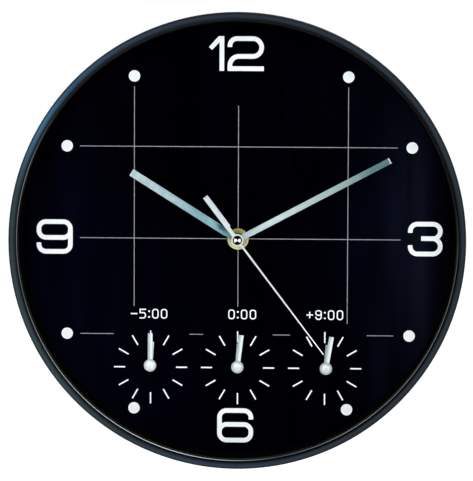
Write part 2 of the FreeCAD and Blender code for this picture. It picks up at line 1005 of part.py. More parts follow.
def movement_rear(front, with_train):
    shell = rounded_slab(-half_body, half_body, -half_body, half_body, movement_recess, front, body_corner)
    inner = half_body - body_wall
    train_room = slab(-inner, inner, bay_high + partition, inner, inner_back, front + overrun)
    bay = slab(-inner, inner, bay_low, bay_high, movement_recess - overrun, front + overrun)
    shell = shell.cut([train_room, bay])
    ribs = []
    for side in (-1, 1):
        middle = rib_offset * side
        half = rib_thickness / 2
        ribs.append(slab(middle - half, middle + half, bay_low, bay_high, rib_depth, front))
    battery_room = end_disc(battery_radius + battery_gap, -battery_length / 2, battery_length / 2)
    parts = [shell] + [rib.cut(battery_room) for rib in ribs]
    if with_train:
        for px in (board_left + board_peg_inset, board_right - board_peg_inset):
            middle = (board_low + board_high) / 2
            parts.append(disc(board_peg_radius, inner_back, board_depth, px, middle))
    rear = joined(parts)
    pivots = [hub_place]
    if with_train:
        pivots += [third_place, rotor_wheel_place, rotor_place]
    start, end = pivot_back - running_gap, inner_back + overrun
    cuts = [disc(pivot_radius + running_gap, start, end, x, z) for x, z in pivots]
    if with_train:
        cuts[0] = disc(second_arbor_radius + running_gap, start, end)
        cuts += contact_notches()
    cuts.append(disc(knob_arbor_radius + running_gap, movement_recess - overrun, end, *knob_place))
    return rear.cut(cuts)


def bridge_posts():
    return [
        (bridge_left + post_inset, bridge_low + post_inset),
        (bridge_right - post_inset, bridge_low + post_inset),
        (bridge_right - post_inset, bridge_high - post_inset),
    ]


def train_bridge():
    back, front = bridge_layer, bridge_layer + bridge_thickness
    plate = slab(bridge_left, bridge_right, bridge_low, bridge_high, back, front)
    radii = (
        (second_arbor_radius, hub_place),
        (arbor_radius, third_place),
        (pivot_radius, rotor_wheel_place),
        (pivot_radius, rotor_place),
    )
    holes = [disc(radius + running_gap, back - overrun, front + overrun, *place) for radius, place in radii]
    return plate.cut(holes)


# Battery and its contacts

def end_disc(radius, start, end):
    return Part.makeCylinder(radius, end - start, at(start, battery_height, battery_depth), Vector(1, 0, 0))


def battery():
    half = battery_length / 2
    can = end_disc(battery_radius, -half, half - battery_nub_length)
    nub = end_disc(battery_nub_radius, half - battery_nub_length, half)
    return can.fuse(nub).removeSplitter()


def contact(side, top):
    # A sprung plate with a dimple at one end of the battery, and a strip that leads up to the board.
    near = contact_plate_place
    far = near + contact_thickness
    low = battery_height - contact_width / 2
    high = battery_height + contact_width / 2
    half = contact_width / 2
    plate = slab(near, far, low, high, battery_depth - half, battery_depth + half)
    strip = slab(near, far, low, top, contact_depth, contact_depth + contact_strip)
    dimple = end_disc(contact_dimple_radius, battery_length / 2, near)
    shape = joined([plate, strip, dimple])
    return shape if side > 0 else swapped(shape)


def swapped(shape):
    return shape.mirror(Vector(0, 0, 0), Vector(1, 0, 0))


def contact_notches():
    near = contact_plate_place - contact_notch_gap
    inner = half_body - body_wall
    back = contact_depth - contact_notch_gap
    front = contact_depth + contact_strip + contact_notch_gap
    notch = slab(near, inner, bay_high - overrun, bay_high + partition + overrun, back, front)
    return [notch, swapped(notch)]


def positive_contact():
    return contact(1, board_high)


def negative_contact():
    rise = contact(-1, board_high + contact_thickness)
    far = contact_plate_place
    lead = slab(-far, board_left + board_peg_inset, board_high, board_high + contact_thickness,
                contact_depth - contact_strip, contact_depth)
    foot = slab(-far - contact_thickness, -far, board_high, board_high + contact_thickness,
                contact_depth - contact_strip, contact_depth)
    return joined([rise, lead, foot])


# Electrical pieces

def circuit_board():
    board = slab(board_left, board_right, board_low, board_high, board_depth, board_depth + board_thickness)
    surface = board_depth + board_thickness
    chip_x = board_left + board_peg_inset + chip_radius
    chip_z = board_low + board_peg_inset
    chip = disc(chip_radius, surface, surface + chip_height, chip_x, chip_z)
    crystal_left = board_right - board_peg_inset - crystal_length
    crystal_end = at(crystal_left, board_high - crystal_inset, surface + crystal_radius)
    crystal = Part.makeCylinder(crystal_radius, crystal_length, crystal_end, Vector(1, 0, 0))
    return [joined([board, chip]), crystal]


stator_right = rotor_place[0] + magnet_radius + stator_gap + stator_margin
stator_left = stator_right - stator_width
core_back = stator_back + stator_thickness


def stator():
    x, z = rotor_place
    back, front = stator_back, stator_back + stator_thickness
    half_bar = magnet_radius + stator_gap + stator_margin
    bar_low, bar_high = z - half_bar, z + half_bar
    yoke = slab(stator_left, stator_right, bar_low, bar_high, back, front)
    left_leg = slab(stator_left, stator_left + stator_leg, bar_high, stator_top, back, front)
    right_leg = slab(stator_right - stator_leg, stator_right, bar_high, stator_top, back, front)
    core_low = coil_height - core_width / 2
    core_high = coil_height + core_width / 2
    core = slab(stator_left, stator_right, core_low, core_high, core_back, core_back + stator_thickness)
    body = joined([yoke, left_leg, right_leg, core])
    return body.cut(disc(magnet_radius + stator_gap, back - overrun, front + overrun, x, z))


def coil():
    left = stator_left + stator_leg + coil_leg_gap
    right = stator_right - stator_leg - coil_leg_gap
    depth = core_back + stator_thickness / 2
    half = coil_flange / 2

    def round_bar(radius, start, end):
        return Part.makeCylinder(radius, end - start, at(start, coil_height, depth), Vector(1, 0, 0))

    def flange(start):
        return slab(start, start + coil_flange_thickness, coil_height - half, coil_height + half,
                    depth - half, depth + half)

    winding = round_bar(coil_radius, left + coil_flange_thickness, right - coil_flange_thickness)
    body = joined([flange(left), winding, flange(right - coil_flange_thickness)])
    high = coil_height + core_width / 2 + core_gap
    low = coil_height - core_width / 2 - core_gap
    reach = stator_thickness / 2 + core_gap
    return body.cut(slab(left - overrun, right + overrun, low, high, depth - reach, depth + reach))


# Nut and washer on the main bush

def bush_washer():
    return tube(washer_radius, bush_radius + bush_hole_gap, dial_front, dial_front + washer_thickness)


def bush_nut():
    back = dial_front + washer_thickness
    front = back + nut_height
    bore = bush_radius + fixed_gap
    rim_inner = nut_radius - nut_rim
    half_rim = nut_rim / 2
    edges = section_path([
        (bore, back),
        (nut_radius, back),
        (nut_radius, front - half_rim),
    ])
    edges.append(section_arc(
        (nut_radius, front - half_rim), (nut_radius - half_rim, front), (rim_inner, front - half_rim)))
    edges += section_path([
        (rim_inner, front - half_rim),
        (bore, front - nut_dish - half_rim),
        (bore, back),
    ])
    return turned(edges)


# Hands point straight up until they are turned to the time that they show

def hand_blade(length, width, level, thickness, eye, neck_width, neck_length):
    half = width / 2
    neck = neck_width / 2
    right_side = [(neck, 0), (half, neck_length), (half, length)]
    left_side = [(-x, z) for x, z in reversed(right_side)]
    outline = right_side + left_side
    blade = prism(outline, level, level + thickness)
    return joined([blade, disc(eye, level, level + thickness)])


def hour_hand():
    blade = hand_blade(hour_hand_length, hour_hand_width, hour_hand_level, hand_thickness,
                       hour_eye_radius, hand_neck_width, hand_neck_length)
    bore = hour_pipe_radius + fixed_gap
    collet = disc(bore + collet_wall, hour_hand_level - collet_height, hour_hand_level)
    hand = joined([blade, collet])
    hand = hand.cut(disc(bore, hour_hand_level - collet_height - overrun, hour_hand_level + overrun))
    return clockwise(hand, hour_hand_angle)


def minute_hand():
    blade = hand_blade(minute_hand_length, minute_hand_width, minute_hand_level, hand_thickness,
                       minute_eye_radius, hand_neck_width, hand_neck_length)
    bore = minute_pipe_radius + fixed_gap
    collet = disc(bore + collet_wall, minute_hand_level - collet_height, minute_hand_level)
    hand = joined([blade, collet])
    hand = hand.cut(disc(bore, minute_hand_level - collet_height - overrun, minute_hand_level + overrun))
    return clockwise(hand, minute_hand_angle)


def second_hand():
    level = second_hand_level
    front = level + second_hand_thickness
    half = second_hand_width / 2
    tail_left = -second_tail_width / 2 - second_tail_shift
    tail_right = second_tail_width / 2 - second_tail_shift
    neck = second_tail_neck / 2
    boss_front = level + second_boss_height
    end = second_hand_tip_width / 2
    tip = second_hand_length
    needle = prism([(-half, 0), (half, 0), (end, tip), (-end, tip)], level, front)
    counterweight = prism([
        (-neck, 0),
        (-neck, -second_tail_neck_length),
        (tail_left, -second_tail_neck_length),
        (tail_left, -second_tail_length),
        (tail_right, -second_tail_length),
        (tail_right, -second_tail_neck_length),
        (neck, -second_tail_neck_length),
        (neck, 0),
    ], level, front)
    hand = joined([needle, counterweight, disc(second_boss_radius, level, boss_front)])
    recess_radius = second_cap_radius + second_cap_groove
    recess = disc(recess_radius, boss_front - second_boss_recess, boss_front + overrun)
    bore = disc(second_arbor_radius + fixed_gap, level - overrun, front + overrun)
    return clockwise(hand.cut([recess, bore]), second_hand_angle)


def dome(radius, back, height, skirt):
    # A short cylinder closed by a spherical cap.
    rim = back + skirt
    shoulder_share = math.sqrt(0.5)
    top = back + height
    sphere = (radius ** 2 + (height - skirt) ** 2) / (2 * (height - skirt))
    middle_radius = radius * shoulder_share
    middle_depth = top - sphere + math.sqrt(sphere ** 2 - middle_radius ** 2)
    edges = section_path([(0, back), (radius, back), (radius, rim)])
    edges.append(section_arc((radius, rim), (middle_radius, middle_depth), (0, top)))
    edges.append(section_line((0, top), (0, back)))
    return turned(edges)


def second_hand_cap():
    back = second_hand_level + second_boss_height - second_boss_recess
    return dome(second_cap_radius, back, second_cap_height, second_boss_recess)


def zone_hour_hand(angle):
    bore = hour_pipe_radius + fixed_gap
    blade = hand_blade(zone_hour_length, zone_hand_width, zone_hour_level, zone_hand_thickness,
                       zone_eye_radius, zone_hand_width, zone_eye_radius)
    return clockwise(blade.cut(disc(bore, zone_hour_level - overrun, zone_hour_level + overrun)), angle)


def zone_minute_hand(angle):
    bore = minute_pipe_radius + fixed_gap
    blade = hand_blade(zone_minute_length, zone_hand_width, zone_minute_level, zone_hand_thickness,
                       zone_eye_radius, zone_hand_width, zone_eye_radius)
    return clockwise(blade.cut(disc(bore, zone_minute_level - overrun, zone_minute_level + overrun)), angle)


def zone_hand_cap():
    back = zone_minute_level + zone_hand_thickness
    front = back + zone_cap_height
    collar = disc(zone_cap_radius, back, front)
    button = dome(zone_dome_radius, front, zone_dome_height, zone_dome_height / 3)
    socket = disc(minute_pipe_radius + fixed_gap, back - overrun, back + zone_cap_socket)
    return joined([collar, button]).cut(socket)


# Everything together

def movement_pads():
    half = pad_size / 2
    hole = zone_bush_radius + bush_hole_gap
    pads = []
    for x, z in zone_spindle_places():
        pad = slab(x - half, x + half, z - half, z + half, dial_back - pad_thickness, dial_back)
        pads.append(pad.cut(disc(hole, dial_back - overrun, dial_back + overrun, x, z)))
    return pads


def main_parts():
    plate_back = dial_back - front_wall
    hour_front = hour_hand_level + hand_thickness
    minute_front = minute_hand_level + hand_thickness
    bush_front = dial_back + bush_height
    return {
        "case_ring": [case_ring()],
        "lens": [lens()],
        "lens_seal": [lens_seal()],
        "spacer_ring": [spacer_ring()],
        "dial_plate": [dial_plate()],
        "dial_print": numerals() + hour_dots() + tick_rings() + zone_labels(),
        "grid_lines": grid_lines(),
        "back_cover": [back_cover()],
        "case_screws": list(screw_places(case_screw()).Solids),
        "movement_pads": movement_pads(),
        "movement_front_case": [movement_front(plate_back, dial_back, bush_radius, bush_front, True)],
        "movement_rear_case": [movement_rear(plate_back, True)],
        "bush_washer": [bush_washer()],
        "bush_nut": [bush_nut()],
        "main_battery": [battery()],
        "positive_contact": [positive_contact()],
        "negative_contact": [negative_contact()],
        "circuit_board": circuit_board(),
        "stator": [stator()],
        "coil": [coil()],
        "train_bridge": [train_bridge()],
        "rotor": [rotor()],
        "rotor_wheel": [rotor_wheel()],
        "seconds_wheel": [seconds_wheel()],
        "third_wheel": [third_wheel()],
        "centre_wheel": [minute_arbor(minute_front, True)],
        "motion_wheel": [motion_wheel()],
        "hour_wheel": [hour_pipe(hour_front)],
        "setting_knob": [setting_knob(plate_back)],
        "hour_hand": [hour_hand()],
        "minute_hand": [minute_hand()],
        "second_hand": [second_hand()],
        "second_hand_cap": [second_hand_cap()],
    }


def zone_parts(index):
    x, z = zone_spindle_places()[index]
    name = zone_names[index]
    plate_back = dial_back - front_wall
    plate_front = dial_back - pad_thickness
    bush_front = dial_front
    arbor_front = zone_minute_level + zone_hand_thickness + zone_cap_socket - running_gap
    pieces = {
        "movement_case": [
            movement_front(plate_back, plate_front, zone_bush_radius, bush_front, False),
            movement_rear(plate_back, False),
        ],
        "battery": [battery()],
        "setting_knob": [setting_knob(plate_back)],
        "motion_wheel": [motion_wheel()],
        "minute_arbor": [minute_arbor(arbor_front, False)],
        "hour_pipe": [hour_pipe(zone_hour_level + zone_hand_thickness)],
        "hour_hand": [zone_hour_hand(zone_hour_angles[index])],
        "minute_hand": [zone_minute_hand(zone_minute_angles[index])],
        "hand_cap": [zone_hand_cap()],
    }
    return {f"{name}_{piece}": [moved(shape, x, z) for shape in shapes] for piece, shapes in pieces.items()}


def build():
    os.makedirs("parts", exist_ok=True)
    nodes = main_parts()
    for index in range(len(zone_names)):
        nodes.update(zone_parts(index))
    for name, shapes in nodes.items():
        export(name, shapes)
        volume = sum(shape.Volume for shape in shapes)
        sound = all(shape.isValid() and len(shape.Solids) == 1 for shape in shapes)
        print(f"{name}: {len(shapes)} solid(s), {volume:.1f} mm3{'' if sound else ', NOT SOUND'}")
    print(f"{len(nodes)} nodes")


build()
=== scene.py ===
import math

import bmesh
import bpy
import numpy as np
from mathutils import Matrix, Vector


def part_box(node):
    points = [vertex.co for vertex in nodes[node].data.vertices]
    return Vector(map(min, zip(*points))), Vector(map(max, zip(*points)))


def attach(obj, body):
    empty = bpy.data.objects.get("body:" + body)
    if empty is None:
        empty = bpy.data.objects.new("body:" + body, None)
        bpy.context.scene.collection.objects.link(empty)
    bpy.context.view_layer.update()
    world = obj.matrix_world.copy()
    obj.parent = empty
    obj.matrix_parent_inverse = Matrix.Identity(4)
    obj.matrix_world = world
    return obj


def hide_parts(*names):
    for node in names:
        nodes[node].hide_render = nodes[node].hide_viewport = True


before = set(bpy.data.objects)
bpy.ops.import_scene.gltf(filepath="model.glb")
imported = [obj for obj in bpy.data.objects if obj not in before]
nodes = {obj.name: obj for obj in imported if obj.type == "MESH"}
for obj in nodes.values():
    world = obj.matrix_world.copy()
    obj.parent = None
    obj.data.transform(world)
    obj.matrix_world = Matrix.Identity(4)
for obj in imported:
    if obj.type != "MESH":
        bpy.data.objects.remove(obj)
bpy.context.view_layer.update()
print("frame loaded,", len(nodes), "nodes")

# spindles of the three zone movements, across and up from the main one
zones = {"left": (-0.0588, -0.08565), "middle": (0.0, -0.0863), "right": (0.0596, -0.08685)}


# Shader nodes

def addNode(tree, kind, **settings):
    """A new node; a setting goes to the input of that name, or else to the node itself."""
    node = tree.nodes.new(kind)
    for key, value in settings.items():
        if key in node.inputs:
            node.inputs[key].default_value = value
        else:
            setattr(node, key, value)
    return node


def linked(tree, source, target):
    tree.links.new(source, target)


def mathOf(tree, operation, *values):
    """A math node; each value is a number or a socket."""
    node = addNode(tree, "ShaderNodeMath", operation=operation)
    for socket, value in zip(node.inputs, values):
        if isinstance(value, (int, float)):
            socket.default_value = value
        else:
            linked(tree, value, socket)
    return node.outputs[0]


# Camera and studio

cameraPlan = {
    "azimuth": 2.2,
    "elevation": 5.0,
    "roll": 0.24,
    "distance": 2.436,
    "aim": (0.0, -0.038, 0.0),
    "lens": 278.1,
    "sensor": 36.0,
    "imageWidth": 473,
    "imageHeight": 481,
    "aimPixel": (237.0, 241.2),
    "farthest": 50,
}


def placeCamera(plan):
    """The camera looks at the aim from its azimuth and elevation; the aim falls on the aimPixel of the picture."""
    turn, rise, roll = (math.radians(plan[key]) for key in ("azimuth", "elevation", "roll"))
    back = Vector((math.sin(turn) * math.cos(rise), -math.cos(turn) * math.cos(rise), math.sin(rise)))
    right = Vector((math.cos(turn), math.sin(turn), 0))
    up = back.cross(right)
    tiltedRight = math.cos(roll) * right + math.sin(roll) * up
    tiltedUp = -math.sin(roll) * right + math.cos(roll) * up
    spot = Vector(plan["aim"]) + plan["distance"] * back
    camera = bpy.data.cameras.new("photoCamera")
    camera.lens = plan["lens"]
    camera.sensor_width = plan["sensor"]
    camera.sensor_fit = "HORIZONTAL"
    camera.shift_x = (plan["imageWidth"] / 2 - plan["aimPixel"][0]) / plan["imageWidth"]
    camera.shift_y = (plan["aimPixel"][1] - plan["imageHeight"] / 2) / plan["imageWidth"]
    camera.clip_end = plan["farthest"]
    holder = bpy.data.objects.new("photoCamera", camera)
    axes = Matrix((tiltedRight, tiltedUp, back)).transposed()
    holder.matrix_world = Matrix.Translation(spot) @ axes.to_4x4()
    bpy.context.scene.collection.objects.link(holder)
    bpy.context.scene.camera = holder


studioPlan = {
    "floorHeight": -0.62,
    "floorHalf": 9.0,
    "floorColour": (0.88, 0.88, 0.88, 1),
    "floorGlow": 0.52,
    "worldLight": 0.64,
    "worldTint": (0.95, 0.97, 1.0, 1),
    "seenTint": (1, 1, 1, 1),
    "lamps": [
        {"name": "keyLamp", "spot": (-1.0, -2.75, 0.95), "size": 1.2, "power": 33.0, "tint": (0.97, 0.99, 1.0)},
        {"name": "fillLamp", "spot": (1.5, -2.4, 0.4), "size": 1.2, "power": 13.0, "tint": (1.0, 1.0, 0.98)},
        {"name": "backLamp", "spot": (0.6, 2.2, 1.6), "size": 1.6, "power": 20.0, "tint": (1.0, 1.0, 1.0)},
    ],
}


def buildStudio(plan):
    """The floor, the lamps around the object and the world."""
    half, height = plan["floorHalf"], plan["floorHeight"]
    mesh = bpy.data.meshes.new("studioFloor")
    corners = [(-half, -half, height), (half, -half, height), (half, half, height), (-half, half, height)]
    mesh.from_pydata(corners, [], [(0, 1, 2, 3)])
    floor = bpy.data.objects.new("studioFloor", mesh)
    bpy.context.scene.collection.objects.link(floor)
    floor.data.materials.append(floorMaterial(plan["floorColour"], plan["floorGlow"]))
    middle = Vector((0, 0, 0))
    for lamp in plan["lamps"]:
        light = bpy.data.lights.new(lamp["name"], "AREA")
        light.shape = "DISK"
        light.size = lamp["size"]
        light.energy = lamp["power"]
        light.color = lamp["tint"]
        holder = bpy.data.objects.new(lamp["name"], light)
        aim = middle - Vector(lamp["spot"])
        holder.location = lamp["spot"]
        holder.rotation_euler = aim.to_track_quat("-Z", "Y").to_euler()
        bpy.context.scene.collection.objects.link(holder)
    buildWorld(plan["worldLight"], plan["worldTint"], plan["seenTint"])


def seenRays(tree):
    """1 for camera, glossy and transmission rays, 0 for the rest."""
    rays = addNode(tree, "ShaderNodeLightPath").outputs
    firstTwo = mathOf(tree, "MAXIMUM", rays["Is Camera Ray"], rays["Is Glossy Ray"])
    return mathOf(tree, "MAXIMUM", firstTwo, rays["Is Transmission Ray"])


def buildWorld(level, litTint, seenTint):
    """One light for the object, and a plain white behind it and in what it mirrors."""
    world = bpy.data.worlds.new("studioWorld")
    world.use_nodes = True
    tree = world.node_tree
    tree.nodes.clear()
    lit = addNode(tree, "ShaderNodeBackground", Strength=level, Color=litTint)
    seen = addNode(tree, "ShaderNodeBackground", Strength=1.0, Color=seenTint)
    mix = addNode(tree, "ShaderNodeMixShader")
    output = addNode(tree, "ShaderNodeOutputWorld")
    linked(tree, seenRays(tree), mix.inputs[0])
    linked(tree, lit.outputs[0], mix.inputs[1])
    linked(tree, seen.outputs[0], mix.inputs[2])
    linked(tree, mix.outputs[0], output.inputs["Surface"])
    bpy.context.scene.world = world


def floorMaterial(colour, glow):
    """Plain diffuse floor; rays that see it get some more light, so that it goes to white around the shadow."""
    material = bpy.data.materials.new("studioFloor")
    material.use_nodes = True
    tree = material.node_tree
    tree.nodes.clear()
    plain = addNode(tree, "ShaderNodeBsdfDiffuse", Color=colour)
    white = addNode(tree, "ShaderNodeEmission")
    both = addNode(tree, "ShaderNodeAddShader")
    output = addNode(tree, "ShaderNodeOutputMaterial")
    linked(tree, mathOf(tree, "MULTIPLY", seenRays(tree), glow), white.inputs["Strength"])
    linked(tree, plain.outputs[0], both.inputs[0])
    linked(tree, white.outputs[0], both.inputs[1])
    linked(tree, both.outputs[0], output.inputs["Surface"])
    return material


placeCamera(cameraPlan)
buildStudio(studioPlan)
bpy.context.scene.view_settings.view_transform = "Standard"
print("camera and studio ready")


# Finishes: each is a Principled shader with its tones, roughness and relief worked out from the place on the
# piece; on the case ring, dial, nut, hands and caps some tones are painted light, shade and reflections

noiseSpan = (0.3, 0.7)
grainDetail, cloudDetail = 3.0, 2.0
evenStretch = (1, 1, 1)
# what a finish has where its own plan says nothing; cloudShare is how much coarser its clouds are than its grain
finishBase = {"drive": "cloud", "span": noiseSpan, "stretch": evenStretch, "patchStretch": evenStretch,
              "cloudShare": 12, "grainShade": 0.85, "bump": 0.5, "metallic": 0.0, "specular": 0.5, "ior": 1.45,
              "coat": 0.0, "coatRough": 0.1}


def newMaterial(name):
    material = bpy.data.materials.new(name)
    material.use_nodes = True
    tree = material.node_tree
    return material, tree, tree.nodes["Principled BSDF"]


def placeOnPiece(tree, look):
    """The piece's own coordinates, moved to its centre and turned so that its long way is Z."""
    coordinates = addNode(tree, "ShaderNodeTexCoord")
    mapping = addNode(tree, "ShaderNodeMapping", vector_type="TEXTURE")
    mapping.inputs["Location"].default_value = look.get("centre", (0, 0, 0))
    mapping.inputs["Rotation"].default_value = (0, math.radians(look.get("angle", 0)), 0)
    linked(tree, coordinates.outputs["Object"], mapping.inputs["Vector"])
    return mapping.outputs["Vector"]


def noiseOf(tree, place, scale, stretch=evenStretch, detail=grainDetail):
    """Grain or clouds, drawn out along an axis by the stretch."""
    mapping = addNode(tree, "ShaderNodeMapping", vector_type="TEXTURE")
    mapping.inputs["Scale"].default_value = stretch
    linked(tree, place, mapping.inputs["Vector"])
    noise = addNode(tree, "ShaderNodeTexNoise", Scale=scale, Detail=detail)
    linked(tree, mapping.outputs["Vector"], noise.inputs["Vector"])
    return noise.outputs["Fac"]


def ranged(tree, value, low, high, start=noiseSpan[0], end=noiseSpan[1]):
    """From low to high while the value goes from start to end, and level outside them."""
    node = addNode(tree, "ShaderNodeMapRange")
    node.inputs["From Min"].default_value = start
    node.inputs["From Max"].default_value = end
    node.inputs["To Min"].default_value = low
    node.inputs["To Max"].default_value = high
    linked(tree, value, node.inputs["Value"])
    return node.outputs["Result"]


def rampOf(tree, value, stops, start=0.0, end=1.0):
    """Colour stops, placed as shares of the way of the value from start to end."""
    ramp = addNode(tree, "ShaderNodeValToRGB")
    elements = ramp.color_ramp.elements
    while len(elements) < len(stops):
        elements.new(0.5)
    for element, (share, colour) in zip(elements, stops):
        element.position = share
        element.color = (*colour, 1)
    linked(tree, ranged(tree, value, 0.0, 1.0, start, end), ramp.inputs["Fac"])
    return ramp.outputs["Color"]


def axisDistance(tree, place):
    """Distance from the turning axis, which runs along Y."""
    flat = addNode(tree, "ShaderNodeVectorMath", operation="MULTIPLY")
    flat.inputs[1].default_value = (1, 0, 1)
    length = addNode(tree, "ShaderNodeVectorMath", operation="LENGTH")
    linked(tree, place, flat.inputs[0])
    linked(tree, flat.outputs[0], length.inputs[0])
    return length.outputs["Value"]


def axesOf(tree, place):
    """The place's X, Y and Z; on a hand X runs across it and Z along it."""
    split = addNode(tree, "ShaderNodeSeparateXYZ")
    linked(tree, place, split.inputs[0])
    return split.outputs


def turnAngle(tree, place):
    """Share of a full clockwise turn from the top, as seen from the front."""
    axes = axesOf(tree, place)
    turn = mathOf(tree, "ARCTAN2", axes["X"], axes["Z"])
    share = mathOf(tree, "MULTIPLY_ADD", turn, 1 / (2 * math.pi), 1.0)
    return mathOf(tree, "FRACT", share)


def spotDistance(tree, place, spot, reach):
    """0 at a spot on the hand and 1 at the edge of an ellipse around it."""
    mapping = addNode(tree, "ShaderNodeMapping", vector_type="TEXTURE")
    mapping.inputs["Location"].default_value = (spot[0], 0, spot[1])
    mapping.inputs["Scale"].default_value = (reach[0], 1, reach[1])
    linked(tree, place, mapping.inputs["Vector"])
    return axisDistance(tree, mapping.outputs["Vector"])


def mixed(tree, share, first, second, **settings):
    """Two colours in one; the share is a number or a socket."""
    mix = addNode(tree, "ShaderNodeMix", data_type="RGBA", **settings)
    shareInput, firstInput, secondInput = mix.inputs[0], mix.inputs[6], mix.inputs[7]
    if isinstance(share, float):
        shareInput.default_value = share
    else:
        linked(tree, share, shareInput)
    linked(tree, first, firstInput)
    linked(tree, second, secondInput)
    return mix.outputs[2]


def blended(tree, share, first, second):
    return mixed(tree, share, first, second)


def multiplied(tree, first, second):
    return mixed(tree, 1.0, first, second, blend_type="MULTIPLY")


def bandOf(tree, value, low, high, soft):
    """1 between low and high, fading to 0 over the soft width outside them."""
    rise = ranged(tree, value, 0.0, 1.0, low - soft, low)
    fall = ranged(tree, value, 1.0, 0.0, high, high + soft)
    return mathOf(tree, "MULTIPLY", rise, fall)


def speckled(tree, tone, grain, darkest):
    """The tone times a grey that follows the grain, from its darkest share up to 1."""
    grey = rampOf(tree, grain, [(0.0, (darkest,) * 3), (1.0, (1.0,) * 3)], *noiseSpan)
    return multiplied(tree, tone, grey)


def plainTone(tree, colour):
    node = addNode(tree, "ShaderNodeRGB")
    node.outputs[0].default_value = colour
    return node.outputs[0]


def facingOf(tree):
    """0 where the surface faces the eye, 1 where it is seen edge on."""
    return addNode(tree, "ShaderNodeLayerWeight", Blend=0.5).outputs["Facing"]


def addRelief(tree, shader, look, grain, height):
    """Roughness follows the grain; the height gives the bumps."""
    linked(tree, ranged(tree, grain, *look["rough"]), shader.inputs["Roughness"])
    bump = addNode(tree, "ShaderNodeBump", Strength=look["bump"], Distance=look["relief"])
    linked(tree, height, bump.inputs["Height"])
    linked(tree, bump.outputs["Normal"], shader.inputs["Normal"])


def finishOf(name, plan):
    """Colour is a ramp over clouds, width, length or radius, times a fine grain; relief is grain or rings."""
    look = {**finishBase, **plan}
    material, tree, shader = newMaterial(name)
    place = placeOnPiece(tree, look)
    grain = noiseOf(tree, place, look["grain"], look["stretch"])
    if look["drive"] == "across":
        value = axesOf(tree, place)["X"]
    elif look["drive"] == "along":
        value = axesOf(tree, place)["Z"]
    elif look["drive"] == "radius":
        value = axisDistance(tree, place)
    else:
        cloud = look.get("cloud", look["grain"] / look["cloudShare"])
        value = noiseOf(tree, place, cloud, detail=cloudDetail)
    colour = speckled(tree, rampOf(tree, value, look["tones"], *look["span"]), grain, look["grainShade"])
    if "patches" in look:
        stains = noiseOf(tree, place, look["patchScale"], look["patchStretch"], cloudDetail)
        colour = multiplied(tree, colour, rampOf(tree, stains, look["patches"], *noiseSpan))
    # a painted shadow: darker inside an ellipse around a spot
    if "paintedShadowTones" in look:
        near = spotDistance(tree, place, look["spot"], look["reach"])
        colour = multiplied(tree, colour, rampOf(tree, near, look["paintedShadowTones"]))
    # painted light and shade, lighter and darker by the turn around the piece's centre
    if "paintedTurnTones" in look:
        colour = multiplied(tree, colour, rampOf(tree, turnAngle(tree, place), look["paintedTurnTones"]))
    linked(tree, colour, shader.inputs["Base Color"])
    shader.inputs["Metallic"].default_value = look["metallic"]
    shader.inputs["IOR"].default_value = look["ior"]
    shader.inputs["Specular IOR Level"].default_value = look["specular"]
    shader.inputs["Coat Weight"].default_value = look["coat"]
    shader.inputs["Coat Roughness"].default_value = look["coatRough"]
    height = grain
    if "rings" in look:
        turns = mathOf(tree, "MULTIPLY", axisDistance(tree, place), 2 * math.pi / look["rings"])
        height = mathOf(tree, "SINE", turns)
    addRelief(tree, shader, look, grain, height)
    return material


def caseMaterial(look):
    """Lacquer whose tone follows the turn around the ring: nose, inner slope and the edge of the lip apart. The
    tones are painted light: reflections on the nose, light and shade on the inner slope, a glint on the lip's edge
    and shade at the outer edge.
    """
    material, tree, shader = newMaterial("caseLacquer")
    place = placeOnPiece(tree, look)
    turn = turnAngle(tree, place)
    radius = axisDistance(tree, place)
    # painted light by the turn: reflections on the nose, light and shade on the inner slope, a glint on the lip's
    # edge
    nose, slope, edge = (rampOf(tree, turn, look[key]) for key in ("noseReflectionTones", "slopeLightShadeTones", "edgeGlintTones"))
    tone = blended(tree, ranged(tree, radius, 0.0, 1.0, *look["slopeSpan"]), slope, nose)
    # painted shade towards the outer edge
    tone = multiplied(tree, tone, ranged(tree, radius, 1.0, look["outerShade"], *look["outerSpan"]))
    # a painted glint along the edge of the lip
    tone = blended(tree, bandOf(tree, radius, *look["glintBand"]), tone, edge)
    depth = axesOf(tree, place)["Y"]
    skirt = plainTone(tree, look["skirtTone"])
    tone = blended(tree, ranged(tree, depth, 0.0, 1.0, *look["skirtSpan"]), tone, skirt)
    grain = noiseOf(tree, place, look["grain"])
    linked(tree, speckled(tree, tone, grain, look["grainShade"]), shader.inputs["Base Color"])
    gloss = ranged(tree, facingOf(tree), look["gloss"], 0.0, *look["glossFade"])
    linked(tree, gloss, shader.inputs["Specular IOR Level"])
    addRelief(tree, shader, look, grain, grain)
    return material


def chromeMaterial(look):
    """Polished dome with a painted reflection: dark surroundings, with two bright windows beside a dark middle
    that opens up and down.
    """
    material, tree, shader = newMaterial("capChrome")
    place = placeOnPiece(tree, look)
    axes = axesOf(tree, place)
    across = mathOf(tree, "ABSOLUTE", mathOf(tree, "SUBTRACT", axes["X"], look["middle"]))
    height = mathOf(tree, "ABSOLUTE", axes["Z"])
    opening = mathOf(tree, "SUBTRACT", mathOf(tree, "MULTIPLY", across, look["spread"]), height)
    window = ranged(tree, opening, 0.0, 1.0, -look["waist"], look["soft"] - look["waist"])
    inside = ranged(tree, axisDistance(tree, place), 1.0, 0.0, *look["rim"])
    tall = ranged(tree, height, 1.0, 0.0, *look["tall"])
    paintedReflection = mathOf(tree, "MULTIPLY", mathOf(tree, "MULTIPLY", window, inside), tall)
    linked(tree, rampOf(tree, paintedReflection, look["tones"]), shader.inputs["Base Color"])
    grain = noiseOf(tree, place, look["grain"])
    linked(tree, ranged(tree, grain, *look["rough"]), shader.inputs["Roughness"])
    shader.inputs["Metallic"].default_value = 1.0
    shader.inputs["Specular Tint"].default_value = look["slantTint"]
    return material


